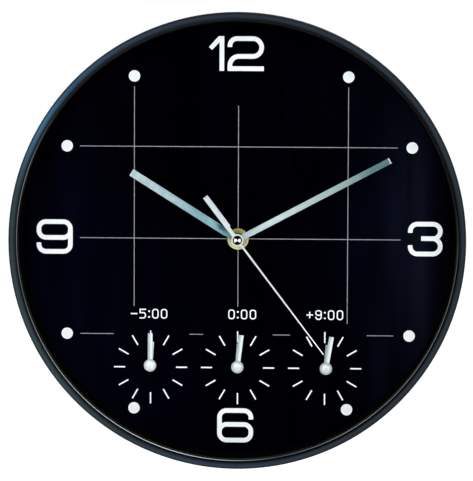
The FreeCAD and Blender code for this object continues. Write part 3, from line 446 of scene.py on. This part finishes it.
def glassMaterial(look):
    """A mirror that shows at a slant only and lets the rest of the light straight through."""
    material, tree, shader = newMaterial("windowGlass")
    smear = noiseOf(tree, placeOnPiece(tree, look), look["smear"])
    linked(tree, ranged(tree, smear, *look["rough"]), shader.inputs["Roughness"])
    linked(tree, rampOf(tree, smear, look["tones"], *noiseSpan), shader.inputs["Base Color"])
    shader.inputs["Metallic"].default_value = 1.0
    veil = ranged(tree, facingOf(tree), 0.0, look["veil"], *look["slantSpan"])
    linked(tree, veil, shader.inputs["Alpha"])
    return material


def dress(material, names):
    """Gives the CAD nodes of these names the material."""
    for name in names:
        for slot in nodes[name].material_slots:
            slot.material = material


def each(piece):
    """The names of one piece in all three zones."""
    return [f"{zone}_{piece}" for zone in zones]


casePlan = {
    # painted reflections on the rounded nose, brightest and bluish at the upper left
    "noseReflectionTones": [(0.0, (0.019, 0.026, 0.037)), (0.10, (0.022, 0.033, 0.044)), (0.18, (0.022, 0.031, 0.040)),
                  (0.23, (0.017, 0.025, 0.033)), (0.32, (0.020, 0.031, 0.041)), (0.40, (0.017, 0.025, 0.033)),
                  (0.47, (0.021, 0.034, 0.050)), (0.54, (0.027, 0.042, 0.064)), (0.585, (0.025, 0.035, 0.042)),
                  (0.64, (0.035, 0.054, 0.064)), (0.71, (0.033, 0.051, 0.058)), (0.75, (0.027, 0.044, 0.048)),
                  (0.79, (0.030, 0.055, 0.064)), (0.833, (0.045, 0.135, 0.225)), (0.875, (0.027, 0.067, 0.125)),
                  (0.917, (0.020, 0.039, 0.065)), (0.96, (0.018, 0.029, 0.045)), (1.0, (0.019, 0.026, 0.037))],
    # painted light and shade on the inner slope: lit at the lower left, in shade at the top and right
    "slopeLightShadeTones": [(0.0, (0.006, 0.009, 0.014)), (0.1, (0.002, 0.003, 0.004)), (0.25, (0.0005, 0.0005, 0.001)),
                   (0.5, (0.0008, 0.001, 0.0015)), (0.62, (0.004, 0.006, 0.008)), (0.8, (0.016, 0.021, 0.026)),
                   (0.95, (0.014, 0.018, 0.024)), (1.0, (0.006, 0.009, 0.014))],
    # a painted glint along the edge of the lip, bright at the bottom and left and dark at the top
    "edgeGlintTones": [(0.0, (0.004, 0.004, 0.005)), (0.22, (0.003, 0.003, 0.004)), (0.30, (0.20, 0.21, 0.22)),
                  (0.42, (0.34, 0.35, 0.36)), (0.47, (0.12, 0.13, 0.14)), (0.545, (0.98, 0.99, 0.99)),
                  (0.64, (0.60, 0.62, 0.63)), (0.71, (0.16, 0.17, 0.18)), (0.80, (0.34, 0.35, 0.36)),
                  (0.85, (0.012, 0.014, 0.016)), (1.0, (0.004, 0.004, 0.005))],
    "skirtTone": (0.018, 0.020, 0.023, 1), "skirtSpan": (-0.0405, -0.0365),
    "slopeSpan": (0.1478, 0.1500),
    # painted shade: darker towards the outer edge where the nose turns away
    "outerSpan": (0.1509, 0.1518), "outerShade": 0.42,
    # radius band that carries the painted glint
    "glintBand": (0.14698, 0.14722, 0.00005),
    "gloss": 0.05, "glossFade": (0.40, 0.80),
    "grain": 1400.0, "grainShade": 0.86, "rough": (0.20, 0.28), "relief": 0.000006, "bump": 0.35,
}
dress(caseMaterial(casePlan), ["case_ring"])

spacerPlan = {"tones": [(0.0, (0.0010, 0.0012, 0.0016)), (1.0, (0.0022, 0.0024, 0.0030))], "grain": 1800.0,
              "rough": (0.5, 0.65), "relief": 0.00001, "specular": 0.0}
dress(finishOf("spacerBlack", spacerPlan), ["spacer_ring"])

coverPlan = {"tones": [(0.0, (0.018, 0.018, 0.019)), (1.0, (0.028, 0.028, 0.030))], "grain": 1500.0, "cloud": 24.0,
             "rough": (0.5, 0.68), "relief": 0.00005, "bump": 0.7}
dress(finishOf("coverBlack", coverPlan), ["back_cover"])

# painted reflection: brighter blue towards the right; the dark strip next to the rim at the right is a painted
# shadow of the rim
dialPlan = {"tones": [(0.0, (0.0007, 0.0007, 0.0036)), (0.12, (0.0009, 0.0009, 0.0044)),
                      (0.20, (0.0007, 0.0007, 0.0036)), (0.33, (0.0003, 0.0002, 0.0021)),
                      (0.55, (0.0003, 0.0002, 0.0014)), (0.71, (0.0003, 0.0003, 0.0024)),
                      (0.79, (0.0010, 0.0013, 0.0046)), (0.86, (0.0022, 0.0028, 0.0074)),
                      (0.91, (0.0034, 0.0041, 0.0098)), (0.95, (0.0006, 0.0007, 0.0022)),
                      (1.0, (0.0003, 0.0003, 0.0012))],
            "drive": "across", "span": (-0.1525, 0.1525), "grain": 2600.0, "grainShade": 0.97,
            # painted reflections: faint upright streaks, lighter and darker
            "patches": [(0.0, (0.55, 0.55, 0.62)), (0.5, (0.95, 0.95, 0.95)), (1.0, (1.55, 1.50, 1.40))],
            "patchScale": 85.0, "patchStretch": (1, 1, 9),
            # painted light and shade by the turn around the dial
            "paintedTurnTones": [(0.0, (1.0,) * 3), (0.08, (0.8,) * 3), (0.14, (0.62,) * 3), (0.22, (1.05,) * 3),
                          (0.27, (1.1,) * 3), (0.33, (0.85,) * 3), (0.41, (0.6,) * 3), (0.5, (1.1,) * 3),
                          (0.60, (1.2,) * 3), (0.76, (1.05,) * 3), (0.82, (0.7,) * 3), (0.87, (0.45,) * 3),
                          (0.93, (0.8,) * 3), (1.0, (1.0,) * 3)],
            "rough": (0.45, 0.55), "relief": 0.000003, "bump": 0.2, "specular": 0.0}
dress(finishOf("dialBlack", dialPlan), ["dial_plate"])

inkPlan = {"tones": [(0.0, (0.90, 0.95, 0.97)), (1.0, (0.95, 0.98, 0.99))], "grain": 4200.0, "grainShade": 0.97,
           "cloud": 90.0, "rough": (0.6, 0.7), "relief": 0.000004, "specular": 0.1}
dress(finishOf("dialWhite", inkPlan), ["dial_print"])

lineInkPlan = {"tones": [(0.0, (0.31, 0.32, 0.34)), (1.0, (0.37, 0.38, 0.40))], "grain": 4200.0,
               "grainShade": 0.94, "rough": (0.6, 0.7), "relief": 0.000004, "specular": 0.1}
dress(finishOf("lineGrey", lineInkPlan), ["grid_lines"])

sealPlan = {"tones": [(0.0, (0.012, 0.012, 0.012)), (1.0, (0.02, 0.02, 0.02))], "grain": 1600.0,
            "rough": (0.7, 0.85), "relief": 0.00004, "specular": 0.05}
dress(finishOf("sealBlack", sealPlan), ["lens_seal"])

screwPlan = {"tones": [(0.0, (0.05, 0.05, 0.055)), (1.0, (0.08, 0.08, 0.085))], "grain": 3000.0,
             "rough": (0.3, 0.45), "metallic": 1.0, "relief": 0.00001}
dress(finishOf("screwBlack", screwPlan), ["case_screws"])

movementPlan = {"tones": [(0.0, (0.020, 0.020, 0.022)), (1.0, (0.030, 0.030, 0.033))], "grain": 2400.0,
                "cloud": 60.0, "rough": (0.35, 0.5), "relief": 0.00002}
dress(finishOf("movementBlack", movementPlan),
      ["movement_front_case", "movement_rear_case"] + each("movement_case"))

padPlan = {"tones": [(0.0, (0.72, 0.71, 0.66)), (1.0, (0.82, 0.81, 0.77))], "grain": 2600.0,
           "rough": (0.8, 0.95), "relief": 0.00008}
dress(finishOf("padFoam", padPlan), ["movement_pads"])

steelPlan = {"tones": [(0.0, (0.55, 0.55, 0.55)), (1.0, (0.66, 0.66, 0.66))], "grain": 3000.0,
             "rough": (0.22, 0.36), "metallic": 1.0, "relief": 0.000006}
dress(finishOf("plainSteel", steelPlan), ["bush_washer", "stator"])

nickelPlan = {"tones": [(0.0, (0.60, 0.59, 0.56)), (1.0, (0.74, 0.73, 0.70))], "grain": 3000.0,
              "rough": (0.16, 0.28), "metallic": 1.0, "relief": 0.000005}
dress(finishOf("nickel", nickelPlan), ["positive_contact", "negative_contact"])

nutPlan = {"tones": [(0.0, (0.96, 0.91, 0.62)), (0.25, (0.84, 0.78, 0.42)), (0.45, (0.88, 0.82, 0.40)),
                     (0.54, (1.0, 0.95, 0.52)), (0.80, (1.0, 0.94, 0.46)), (1.0, (0.92, 0.84, 0.32))],
           # painted shade: darker and olive at the top and upper left, greyer at the left
           "paintedTurnTones": [(0.0, (0.50, 0.48, 0.24)), (0.08, (0.56, 0.54, 0.36)), (0.20, (1.0, 1.0, 1.0)),
                         (0.40, (1.0, 1.0, 1.0)), (0.52, (0.92, 0.91, 0.86)), (0.66, (1.0, 0.99, 0.90)),
                         (0.76, (0.66, 0.70, 0.76)), (0.90, (0.52, 0.50, 0.28)), (1.0, (0.50, 0.48, 0.24))],
           "grain": 3500.0, "drive": "radius", "span": (0.0036, 0.0070), "rough": (0.26, 0.36), "metallic": 0.0,
           "specular": 0.9, "rings": 0.00035, "relief": 0.000006, "bump": 0.3}
dress(finishOf("turnedBrass", nutPlan), ["bush_nut"])

boardPlan = {"tones": [(0.0, (0.03, 0.12, 0.06)), (1.0, (0.05, 0.17, 0.08))], "grain": 1800.0,
             "rough": (0.3, 0.45), "relief": 0.00002}
dress(finishOf("boardGreen", boardPlan), ["circuit_board"])

coilPlan = {"tones": [(0.0, (0.42, 0.15, 0.06)), (1.0, (0.62, 0.26, 0.11))], "grain": 900.0,
            "stretch": (0.05, 1, 1), "rough": (0.25, 0.4), "metallic": 1.0, "relief": 0.00006, "bump": 0.9}
dress(finishOf("coilCopper", coilPlan), ["coil"])

magnetPlan = {"tones": [(0.0, (0.07, 0.07, 0.075)), (1.0, (0.11, 0.11, 0.115))], "grain": 3000.0,
              "rough": (0.4, 0.55), "metallic": 0.8, "relief": 0.00001}
dress(finishOf("magnetGrey", magnetPlan), ["rotor"])

wheelPlan = {"tones": [(0.0, (0.74, 0.72, 0.65)), (1.0, (0.84, 0.82, 0.76))], "grain": 2600.0,
             "rough": (0.35, 0.5), "relief": 0.00001}
dress(finishOf("wheelWhite", wheelPlan),
      ["train_bridge", "rotor_wheel", "seconds_wheel", "third_wheel", "motion_wheel", "hour_wheel"]
      + each("motion_wheel") + each("hour_pipe"))

brassPlan = {"tones": [(0.0, (0.62, 0.46, 0.18)), (1.0, (0.74, 0.58, 0.26))], "grain": 3000.0,
             "rough": (0.18, 0.3), "metallic": 1.0, "relief": 0.000006}
dress(finishOf("plainBrass", brassPlan), ["centre_wheel"] + each("minute_arbor"))

knobPlan = {"tones": [(0.0, (0.66, 0.66, 0.64)), (1.0, (0.76, 0.76, 0.73))], "grain": 2600.0,
            "rough": (0.4, 0.55), "relief": 0.00001}
dress(finishOf("knobGrey", knobPlan), ["setting_knob"] + each("setting_knob"))

batteryPlan = {"tones": [(0.0, (0.020, 0.045, 0.075)), (0.5, (0.024, 0.052, 0.085)), (1.0, (0.03, 0.06, 0.10))],
               "grain": 2000.0, "rough": (0.18, 0.3), "relief": 0.000006, "coat": 0.6}
dress(finishOf("batterySleeve", batteryPlan), ["main_battery"] + each("battery"))

# painted reflection: darker near the hub, lighter towards the tip
hourPlan = {"tones": [(0.0, (0.12, 0.20, 0.21)), (0.12, (0.20, 0.35, 0.38)), (0.20, (0.22, 0.39, 0.42)),
                      (0.31, (0.19, 0.33, 0.37)), (0.45, (0.27, 0.40, 0.43)), (0.60, (0.34, 0.45, 0.48)),
                      (1.0, (0.43, 0.52, 0.55))],
            "patches": [(0.0, (0.72, 0.80, 0.88)), (0.5, (0.94, 0.97, 0.96)), (1.0, (1.0, 1.0, 1.0))],
            "patchScale": 260.0,
            # painted shadow of the second hand's tail: a dark ellipse near the hub
            "spot": (0.0013, 0.0132), "reach": (0.0028, 0.0066),
            "paintedShadowTones": [(0.0, (0.16, 0.24, 0.28)), (0.35, (0.24, 0.32, 0.36)), (0.75, (0.8, 0.86, 0.88)),
                          (1.0, (1.0, 1.0, 1.0))],
            "drive": "along", "span": (0.006, 0.084), "angle": 302.1, "grain": 5200.0, "stretch": (1, 1, 26),
            "grainShade": 0.72, "rough": (0.30, 0.42), "metallic": 1.0, "relief": 0.000006}
dress(finishOf("hourMetal", hourPlan), ["hour_hand"])

# painted reflection along the blade, and a painted highlight on the cut end at the tip
minutePlan = {"tones": [(0.0, (0.34, 0.43, 0.49)), (0.2, (0.50, 0.58, 0.60)), (0.45, (0.36, 0.45, 0.45)),
                        (0.7, (0.24, 0.34, 0.35)), (0.88, (0.09, 0.17, 0.18)), (0.992, (0.09, 0.17, 0.18)),
                        (0.996, (0.60, 0.68, 0.66)), (1.0, (0.60, 0.68, 0.66))],
              "drive": "along", "span": (0.004, 0.115), "angle": 62.1, "grain": 5200.0, "stretch": (1, 1, 26),
              "grainShade": 0.75, "rough": (0.30, 0.42), "metallic": 1.0, "relief": 0.000006}
dress(finishOf("minuteMetal", minutePlan), ["minute_hand"])

# painted reflection: lighter towards the tip
secondPlan = {"tones": [(0.0, (0.50, 0.56, 0.59)), (0.3, (0.60, 0.65, 0.68)), (0.62, (0.68, 0.71, 0.73)),
                        (0.85, (0.78, 0.81, 0.83)), (1.0, (0.82, 0.84, 0.86))],
              "drive": "along", "span": (-0.036, 0.096), "angle": 142.8, "grain": 5200.0, "stretch": (1, 1, 20),
              "grainShade": 0.85, "rough": (0.26, 0.36), "metallic": 1.0, "relief": 0.000005}
dress(finishOf("secondMetal", secondPlan), ["second_hand"])

# painted reflection on the chrome cap
capPlan = {"tones": [(0.0, (0.004, 0.005, 0.007)), (0.5, (0.40, 0.41, 0.42)), (1.0, (0.92, 0.94, 0.95))],
           "middle": 0.00005, "spread": 0.75, "waist": 0.00045, "soft": 0.0007, "rim": (0.0022, 0.0026),
           "tall": (0.0013, 0.0018), "grain": 3000.0, "rough": (0.04, 0.08), "slantTint": (0.3, 0.3, 0.32, 1)}
dress(chromeMaterial(capPlan), ["second_hand_cap"])

# painted reflection: lighter towards one side of the blade
zoneHandPlan = {"tones": [(0.0, (0.34, 0.41, 0.42)), (0.30, (0.40, 0.48, 0.49)), (0.50, (0.52, 0.61, 0.63)),
                          (0.80, (0.69, 0.80, 0.82)), (1.0, (0.61, 0.69, 0.70))],
                "drive": "across", "span": (-0.0016, 0.0016), "grain": 5200.0,
                "stretch": (1, 1, 20), "grainShade": 0.86, "rough": (0.28, 0.4), "metallic": 1.0,
                "relief": 0.000005}
# painted reflection across the zone hour hands
zoneHourTones = [(0.0, (0.26, 0.33, 0.335)), (0.40, (0.29, 0.36, 0.365)), (0.65, (0.45, 0.53, 0.54)),
                 (1.0, (0.60, 0.70, 0.70))]
# painted shade: the same cap made darker in the middle and right zones
zoneCapPaintedShade = {"left": 1.0, "middle": 0.86, "right": 0.78}
# where the hour and the minute hand of each zone point, in degrees
zoneHandAngles = {"left": (3.5, 0.0), "middle": (4.2, 6.9), "right": (4.8, 9.7)}
# painted highlight partway out and painted shade towards the rim of the dome
zoneCapPlan = {"tones": [(0.0, (0.66, 0.70, 0.74)), (0.36, (0.70, 0.75, 0.78)), (0.48, (0.78, 0.84, 0.86)),
                         (0.60, (0.65, 0.71, 0.72)), (0.72, (0.54, 0.59, 0.59)), (0.84, (0.42, 0.46, 0.46)),
                         (1.0, (0.34, 0.37, 0.37))],
               "drive": "radius", "span": (0.0, 0.0042), "grain": 3600.0, "rough": (0.34, 0.46), "metallic": 0.7,
               "relief": 0.000004}

for zone, (across, up) in zones.items():
    for hand, angle in zip(("hour", "minute"), zoneHandAngles[zone]):
        look = {**zoneHandPlan, "centre": (across, 0, up), "angle": angle}
        if hand == "hour":
            look["tones"] = zoneHourTones
        dress(finishOf(f"{zone}{hand.title()}Metal", look), [f"{zone}_{hand}_hand"])
    capTones = [(share, tuple(zoneCapPaintedShade[zone] * part for part in colour))
                for share, colour in zoneCapPlan["tones"]]
    look = {**zoneCapPlan, "tones": capTones, "centre": (across, 0, up)}
    dress(finishOf(f"{zone}CapSatin", look), [f"{zone}_hand_cap"])

glassPlan = {"tones": [(0.0, (0.80, 0.86, 0.96)), (1.0, (0.88, 0.93, 1.0))], "smear": 14.0, "rough": (0.03, 0.06),
             "slantSpan": (0.45, 0.95), "veil": 0.25}
dress(glassMaterial(glassPlan), ["lens"])
print("finishes ready")


# New pieces: grids of points worked out with numpy

def gridFaces(rows, columns):
    """Corner numbers of the quads of a grid that closes around its columns."""
    row, column = np.meshgrid(np.arange(rows - 1), np.arange(columns), indexing="ij")
    here = row * columns + column
    beside = row * columns + (column + 1) % columns
    return np.stack([here, beside, beside + columns, here + columns], axis=-1).reshape(-1, 4)


def pieceOf(name, points, faces, materials, body, smooth=True, faceMaterials=None):
    """A new object from points and faces, with its normals turned outward, riding on a body."""
    mesh = bpy.data.meshes.new(name)
    mesh.from_pydata(points.reshape(-1, 3).tolist(), [], [list(map(int, face)) for face in faces])
    for material in materials:
        mesh.materials.append(material)
    if faceMaterials is not None:
        mesh.polygons.foreach_set("material_index", np.asarray(faceMaterials, dtype=np.int32))
    mesh.polygons.foreach_set("use_smooth", np.full(len(mesh.polygons), smooth))
    work = bmesh.new()
    work.from_mesh(mesh)
    bmesh.ops.recalc_face_normals(work, faces=work.faces)
    work.to_mesh(mesh)
    work.free()
    mesh.validate()
    piece = bpy.data.objects.new(name, mesh)
    bpy.context.scene.collection.objects.link(piece)
    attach(piece, body)
    return piece


perMetre = 1000

batteryPiecePlan = {
    # millimetres along the cell from its flat end, radius in millimetres, finish of the strip that starts there
    "profile": [(0.0, 0.0002, "metal"), (0.0, 4.5, "metal"), (0.12, 4.8, "metal"), (0.30, 4.9, "metal"),
                (0.30, 5.5, "gasket"), (0.12, 5.75, "sleeve"), (0.02, 6.1, "sleeve"), (0.02, 6.5, "sleeve"),
                (0.12, 6.8, "sleeve"), (0.35, 6.96, "sleeve"), (0.7, 7.0, "sleeve"), (12.0, 7.0, "sleeve"),
                (24.0, 7.0, "sleeve"), (36.0, 7.0, "sleeve"), (47.9, 7.0, "sleeve"), (48.4, 6.94, "sleeve"),
                (48.8, 6.75, "sleeve"), (49.0, 6.4, "sleeve"), (49.05, 6.0, "sleeve"), (48.95, 5.7, "sleeve"),
                (48.8, 5.6, "gasket"), (48.6, 5.5, "gasket"), (48.6, 5.0, "metal"), (48.8, 4.6, "metal"),
                (48.8, 3.3, "metal"), (48.95, 2.85, "metal"), (49.3, 2.7, "metal"), (50.1, 2.66, "metal"),
                (50.3, 2.55, "metal"), (50.4, 2.3, "metal"), (50.4, 0.0002, "metal")],
    "around": 96, "length": 50.4, "kinds": ("sleeve", "metal", "gasket"),
    "bands": [(0.0, (0.012, 0.020, 0.034)), (0.30, (0.014, 0.026, 0.044)), (0.62, (0.018, 0.040, 0.070)),
              (0.700, (0.018, 0.040, 0.070)), (0.705, (0.62, 0.64, 0.66)), (0.735, (0.62, 0.64, 0.66)),
              (0.740, (0.10, 0.13, 0.17)), (1.0, (0.13, 0.17, 0.22))],
    "markPlace": 0.0200, "markHalf": 0.0021, "markStroke": 0.00055, "markTone": (0.70, 0.72, 0.74, 1),
    "grain": 2600.0, "stretch": (6, 1, 1), "grainShade": 0.88, "rough": (0.20, 0.30), "relief": 0.000008,
    "bump": 0.4,
}


def sleeveMaterial(name, look, centre):
    """Printed sleeve: bands along the cell and a plus and a minus mark on the side that shows."""
    material, tree, shader = newMaterial(name)
    place = placeOnPiece(tree, {"centre": centre})
    axes = axesOf(tree, place)
    half = look["length"] / perMetre / 2
    bands = rampOf(tree, axes["X"], look["bands"], -half, half)
    height = mathOf(tree, "ABSOLUTE", axes["Z"])
    fromMark = mathOf(tree, "SUBTRACT", mathOf(tree, "ABSOLUTE", axes["X"]), look["markPlace"])
    away = mathOf(tree, "ABSOLUTE", fromMark)

    def within(first, second):
        """1 where both distances are less than a mark's half length and its stroke."""
        return mathOf(tree, "MULTIPLY", mathOf(tree, "LESS_THAN", first, look["markHalf"]),
                      mathOf(tree, "LESS_THAN", second, look["markStroke"]))

    level = within(away, height)
    upright = mathOf(tree, "MULTIPLY", within(height, away), mathOf(tree, "GREATER_THAN", axes["X"], 0.0))
    mark = mathOf(tree, "MULTIPLY", mathOf(tree, "MAXIMUM", level, upright),
                  mathOf(tree, "GREATER_THAN", axes["Y"], 0.0))
    tone = blended(tree, mark, bands, plainTone(tree, look["markTone"]))
    grain = noiseOf(tree, place, look["grain"], look["stretch"])
    linked(tree, speckled(tree, tone, grain, look["grainShade"]), shader.inputs["Base Color"])
    addRelief(tree, shader, look, grain, grain)
    return material


def addBattery(node, look, metal, gasket):
    """Surface of turning: each point of the profile goes round the cell's own long axis, which runs along X."""
    low, high = (np.array(corner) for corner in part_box(node))
    centre = (low + high) / 2
    places, radii, kinds = zip(*look["profile"])
    along = np.array(places) / perMetre - look["length"] / perMetre / 2
    radius = np.array(radii) / perMetre
    turn = np.linspace(0, 2 * math.pi, look["around"], endpoint=False)
    points = np.stack([
        np.broadcast_to(centre[0] + along[:, None], (len(along), len(turn))),
        centre[1] + radius[:, None] * np.cos(turn),
        centre[2] + radius[:, None] * np.sin(turn),
    ], axis=-1)
    faces = gridFaces(len(along), len(turn))
    strips = [look["kinds"].index(kind) for kind in kinds[:-1]]
    sleeve = sleeveMaterial(f"{node}Sleeve", look, tuple(float(value) for value in centre))
    piece = pieceOf(f"{node}_cell", points, faces, [sleeve, metal, gasket], "case",
                    faceMaterials=np.repeat(strips, len(turn)))
    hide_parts(node)


moldingPlan = {
    "rearFace": -0.0025, "sunk": 0.0001, "raised": 0.00025, "chamfer": 0.00008,
    "knobAbove": 0.018, "arrowRadius": 0.0078, "arrowWidth": 0.0007, "arcs": ((35, 140), (215, 320)),
    "headLength": 0.0019, "headHalf": 0.0011,
    "markAbove": -0.0073, "markAcross": 0.0205, "markHalf": 0.0018, "markWidth": 0.0007,
    "cornerRings": ((-0.0245, 0.0245), (0.0245, 0.0245), (-0.0245, -0.0065), (0.0245, -0.0065)),
    "ringRadius": 0.0013, "ringWidth": 0.0004, "arcPoints": 36, "ringPoints": 32, "wedgeInset": 0.12,
}


def ridge(centreLine, look, width, ring=False):
    """A raised bar: its trapezoid section is carried along a line of places on the rear face of the movement."""
    line = np.asarray(centreLine, dtype=float)
    if ring:
        forward = np.roll(line, -1, axis=0) - np.roll(line, 1, axis=0)
    else:
        forward = np.gradient(line, axis=0)
    forward /= np.linalg.norm(forward, axis=1)[:, None]
    side = np.stack([-forward[:, 1], forward[:, 0]], axis=1)
    low = look["rearFace"] - look["sunk"]
    high = look["rearFace"] + look["raised"]
    half = width / 2
    section = [(-half, low), (-half, high - look["chamfer"]), (-half + look["chamfer"], high),
               (half - look["chamfer"], high), (half, high - look["chamfer"]), (half, low)]
    flat = np.array([[spot + offset * across for offset, level in section] for spot, across in zip(line, side)])
    levels = np.broadcast_to([level for offset, level in section], flat.shape[:2])
    points = np.stack([flat[..., 0], levels, flat[..., 1]], axis=-1)
    count = len(line)
    if ring:
        return points, (gridFaces(count + 1, len(section)) % (count * len(section))).tolist()
    faces = gridFaces(count, len(section)).tolist()
    first = list(range(len(section)))
    last = [number + (count - 1) * len(section) for number in first]
    return points, faces + [first, last]


def wedge(corners, look):
    """A raised plate with three corners and a small chamfer."""
    corners = np.asarray(corners, dtype=float)
    middle = corners.mean(axis=0)
    inner = corners + (middle - corners) * look["wedgeInset"]
    low, high = look["rearFace"] - look["sunk"], look["rearFace"] + look["raised"]
    rings = [(corners, low), (corners, high - look["chamfer"]), (inner, high)]
    points = np.array([[(x, level, z) for x, z in outline] for outline, level in rings])
    bottom = list(range(len(corners)))
    top = [number + (len(rings) - 1) * len(corners) for number in bottom]
    return points, gridFaces(len(rings), len(corners)).tolist() + [bottom, top]


def polarLine(centre, radius, start, end, count):
    """Places on an arc, with its ends in degrees."""
    turn = np.radians(np.linspace(start, end, count))
    return np.stack([centre[0] + radius * np.cos(turn), centre[1] + radius * np.sin(turn)], axis=1)


def addMolding(name, place, look, material):
    """Setting arrows around the knob, a plus and a minus beside the battery bay, and four round pin marks."""
    across, up = place
    knob = (across, up + look["knobAbove"])
    parts = []
    for start, end in look["arcs"]:
        arc = polarLine(knob, look["arrowRadius"], start, end, look["arcPoints"])
        parts.append(ridge(arc, look, look["arrowWidth"]))
        turn = math.radians(end)
        tip = math.radians(end + math.degrees(look["headLength"] / look["arrowRadius"]))
        inner, outer = look["arrowRadius"] - look["headHalf"], look["arrowRadius"] + look["headHalf"]
        parts.append(wedge([
            (knob[0] + inner * math.cos(turn), knob[1] + inner * math.sin(turn)),
            (knob[0] + outer * math.cos(turn), knob[1] + outer * math.sin(turn)),
            (knob[0] + look["arrowRadius"] * math.cos(tip), knob[1] + look["arrowRadius"] * math.sin(tip)),
        ], look))
    height, half = up + look["markAbove"], look["markHalf"]
    for side in (-1, 1):
        middle = across + side * look["markAcross"]
        parts.append(ridge([(middle - half, height), (middle, height), (middle + half, height)], look,
                           look["markWidth"]))
    middle = across + look["markAcross"]
    parts.append(ridge([(middle, height - half), (middle, height), (middle, height + half)], look,
                       look["markWidth"]))
    for dx, dz in look["cornerRings"]:
        circle = polarLine((across + dx, up + dz), look["ringRadius"], 0, 360, look["ringPoints"] + 1)[:-1]
        parts.append(ridge(circle, look, look["ringWidth"], ring=True))
    points, faces, start = [], [], 0
    for spots, corners in parts:
        spots = spots.reshape(-1, 3)
        points.append(spots)
        faces += [[number + start for number in face] for face in corners]
        start += len(spots)
    pieceOf(name, np.concatenate(points), faces, [material], "case", smooth=False)


metalEnd = finishOf("cellSteel", {**nickelPlan, "rings": 0.0009})
gasketBlack = finishOf("cellGasket", {**spacerPlan, "specular": 0.3})
addBattery("main_battery", batteryPiecePlan, metalEnd, gasketBlack)
for side in zones:
    addBattery(f"{side}_battery", batteryPiecePlan, metalEnd, gasketBlack)
moldedTones = [(0.0, (0.032, 0.032, 0.035)), (1.0, (0.045, 0.045, 0.049))]
moldedBlack = finishOf("moldedBlack", {**movementPlan, "tones": moldedTones})
addMolding("main_movement_marks", (0.0, 0.0), moldingPlan, moldedBlack)
for side, place in zones.items():
    addMolding(f"{side}_movement_marks", place, moldingPlan, moldedBlack)
print("cells and moulded marks ready")


# Hands: the same blades with their cut edges softened

softPlan = {"merge": 0.000002, "flat": 1.0, "width": 0.00010, "segments": 2, "sharp": 40.0}


def soften(node, body, look):
    """A copy of the node's mesh with clean flat faces and a small bevel, in place of the node."""
    source = nodes[node]
    mesh = source.data.copy()
    work = bmesh.new()
    work.from_mesh(mesh)
    bmesh.ops.remove_doubles(work, verts=work.verts, dist=look["merge"])
    bmesh.ops.dissolve_limit(work, angle_limit=math.radians(look["flat"]), verts=work.verts, edges=work.edges)
    work.to_mesh(mesh)
    work.free()
    piece = bpy.data.objects.new(f"{node}_soft", mesh)
    bpy.context.scene.collection.objects.link(piece)
    for slotHere, slotThere in zip(piece.material_slots, source.material_slots):
        slotHere.material = slotThere.material
    bevel = piece.modifiers.new("softEdge", "BEVEL")
    bevel.width = look["width"]
    bevel.segments = look["segments"]
    bevel.limit_method = "ANGLE"
    bevel.angle_limit = math.radians(look["sharp"])
    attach(piece, body)
    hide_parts(node)


soften("hour_hand", "hour_body", softPlan)
soften("minute_hand", "minute_body", softPlan)
soften("second_hand", "second_body", softPlan)
for side in zones:
    soften(f"{side}_hour_hand", f"{side}_hour_body", softPlan)
    soften(f"{side}_minute_hand", f"{side}_minute_body", softPlan)
print("hands softened")
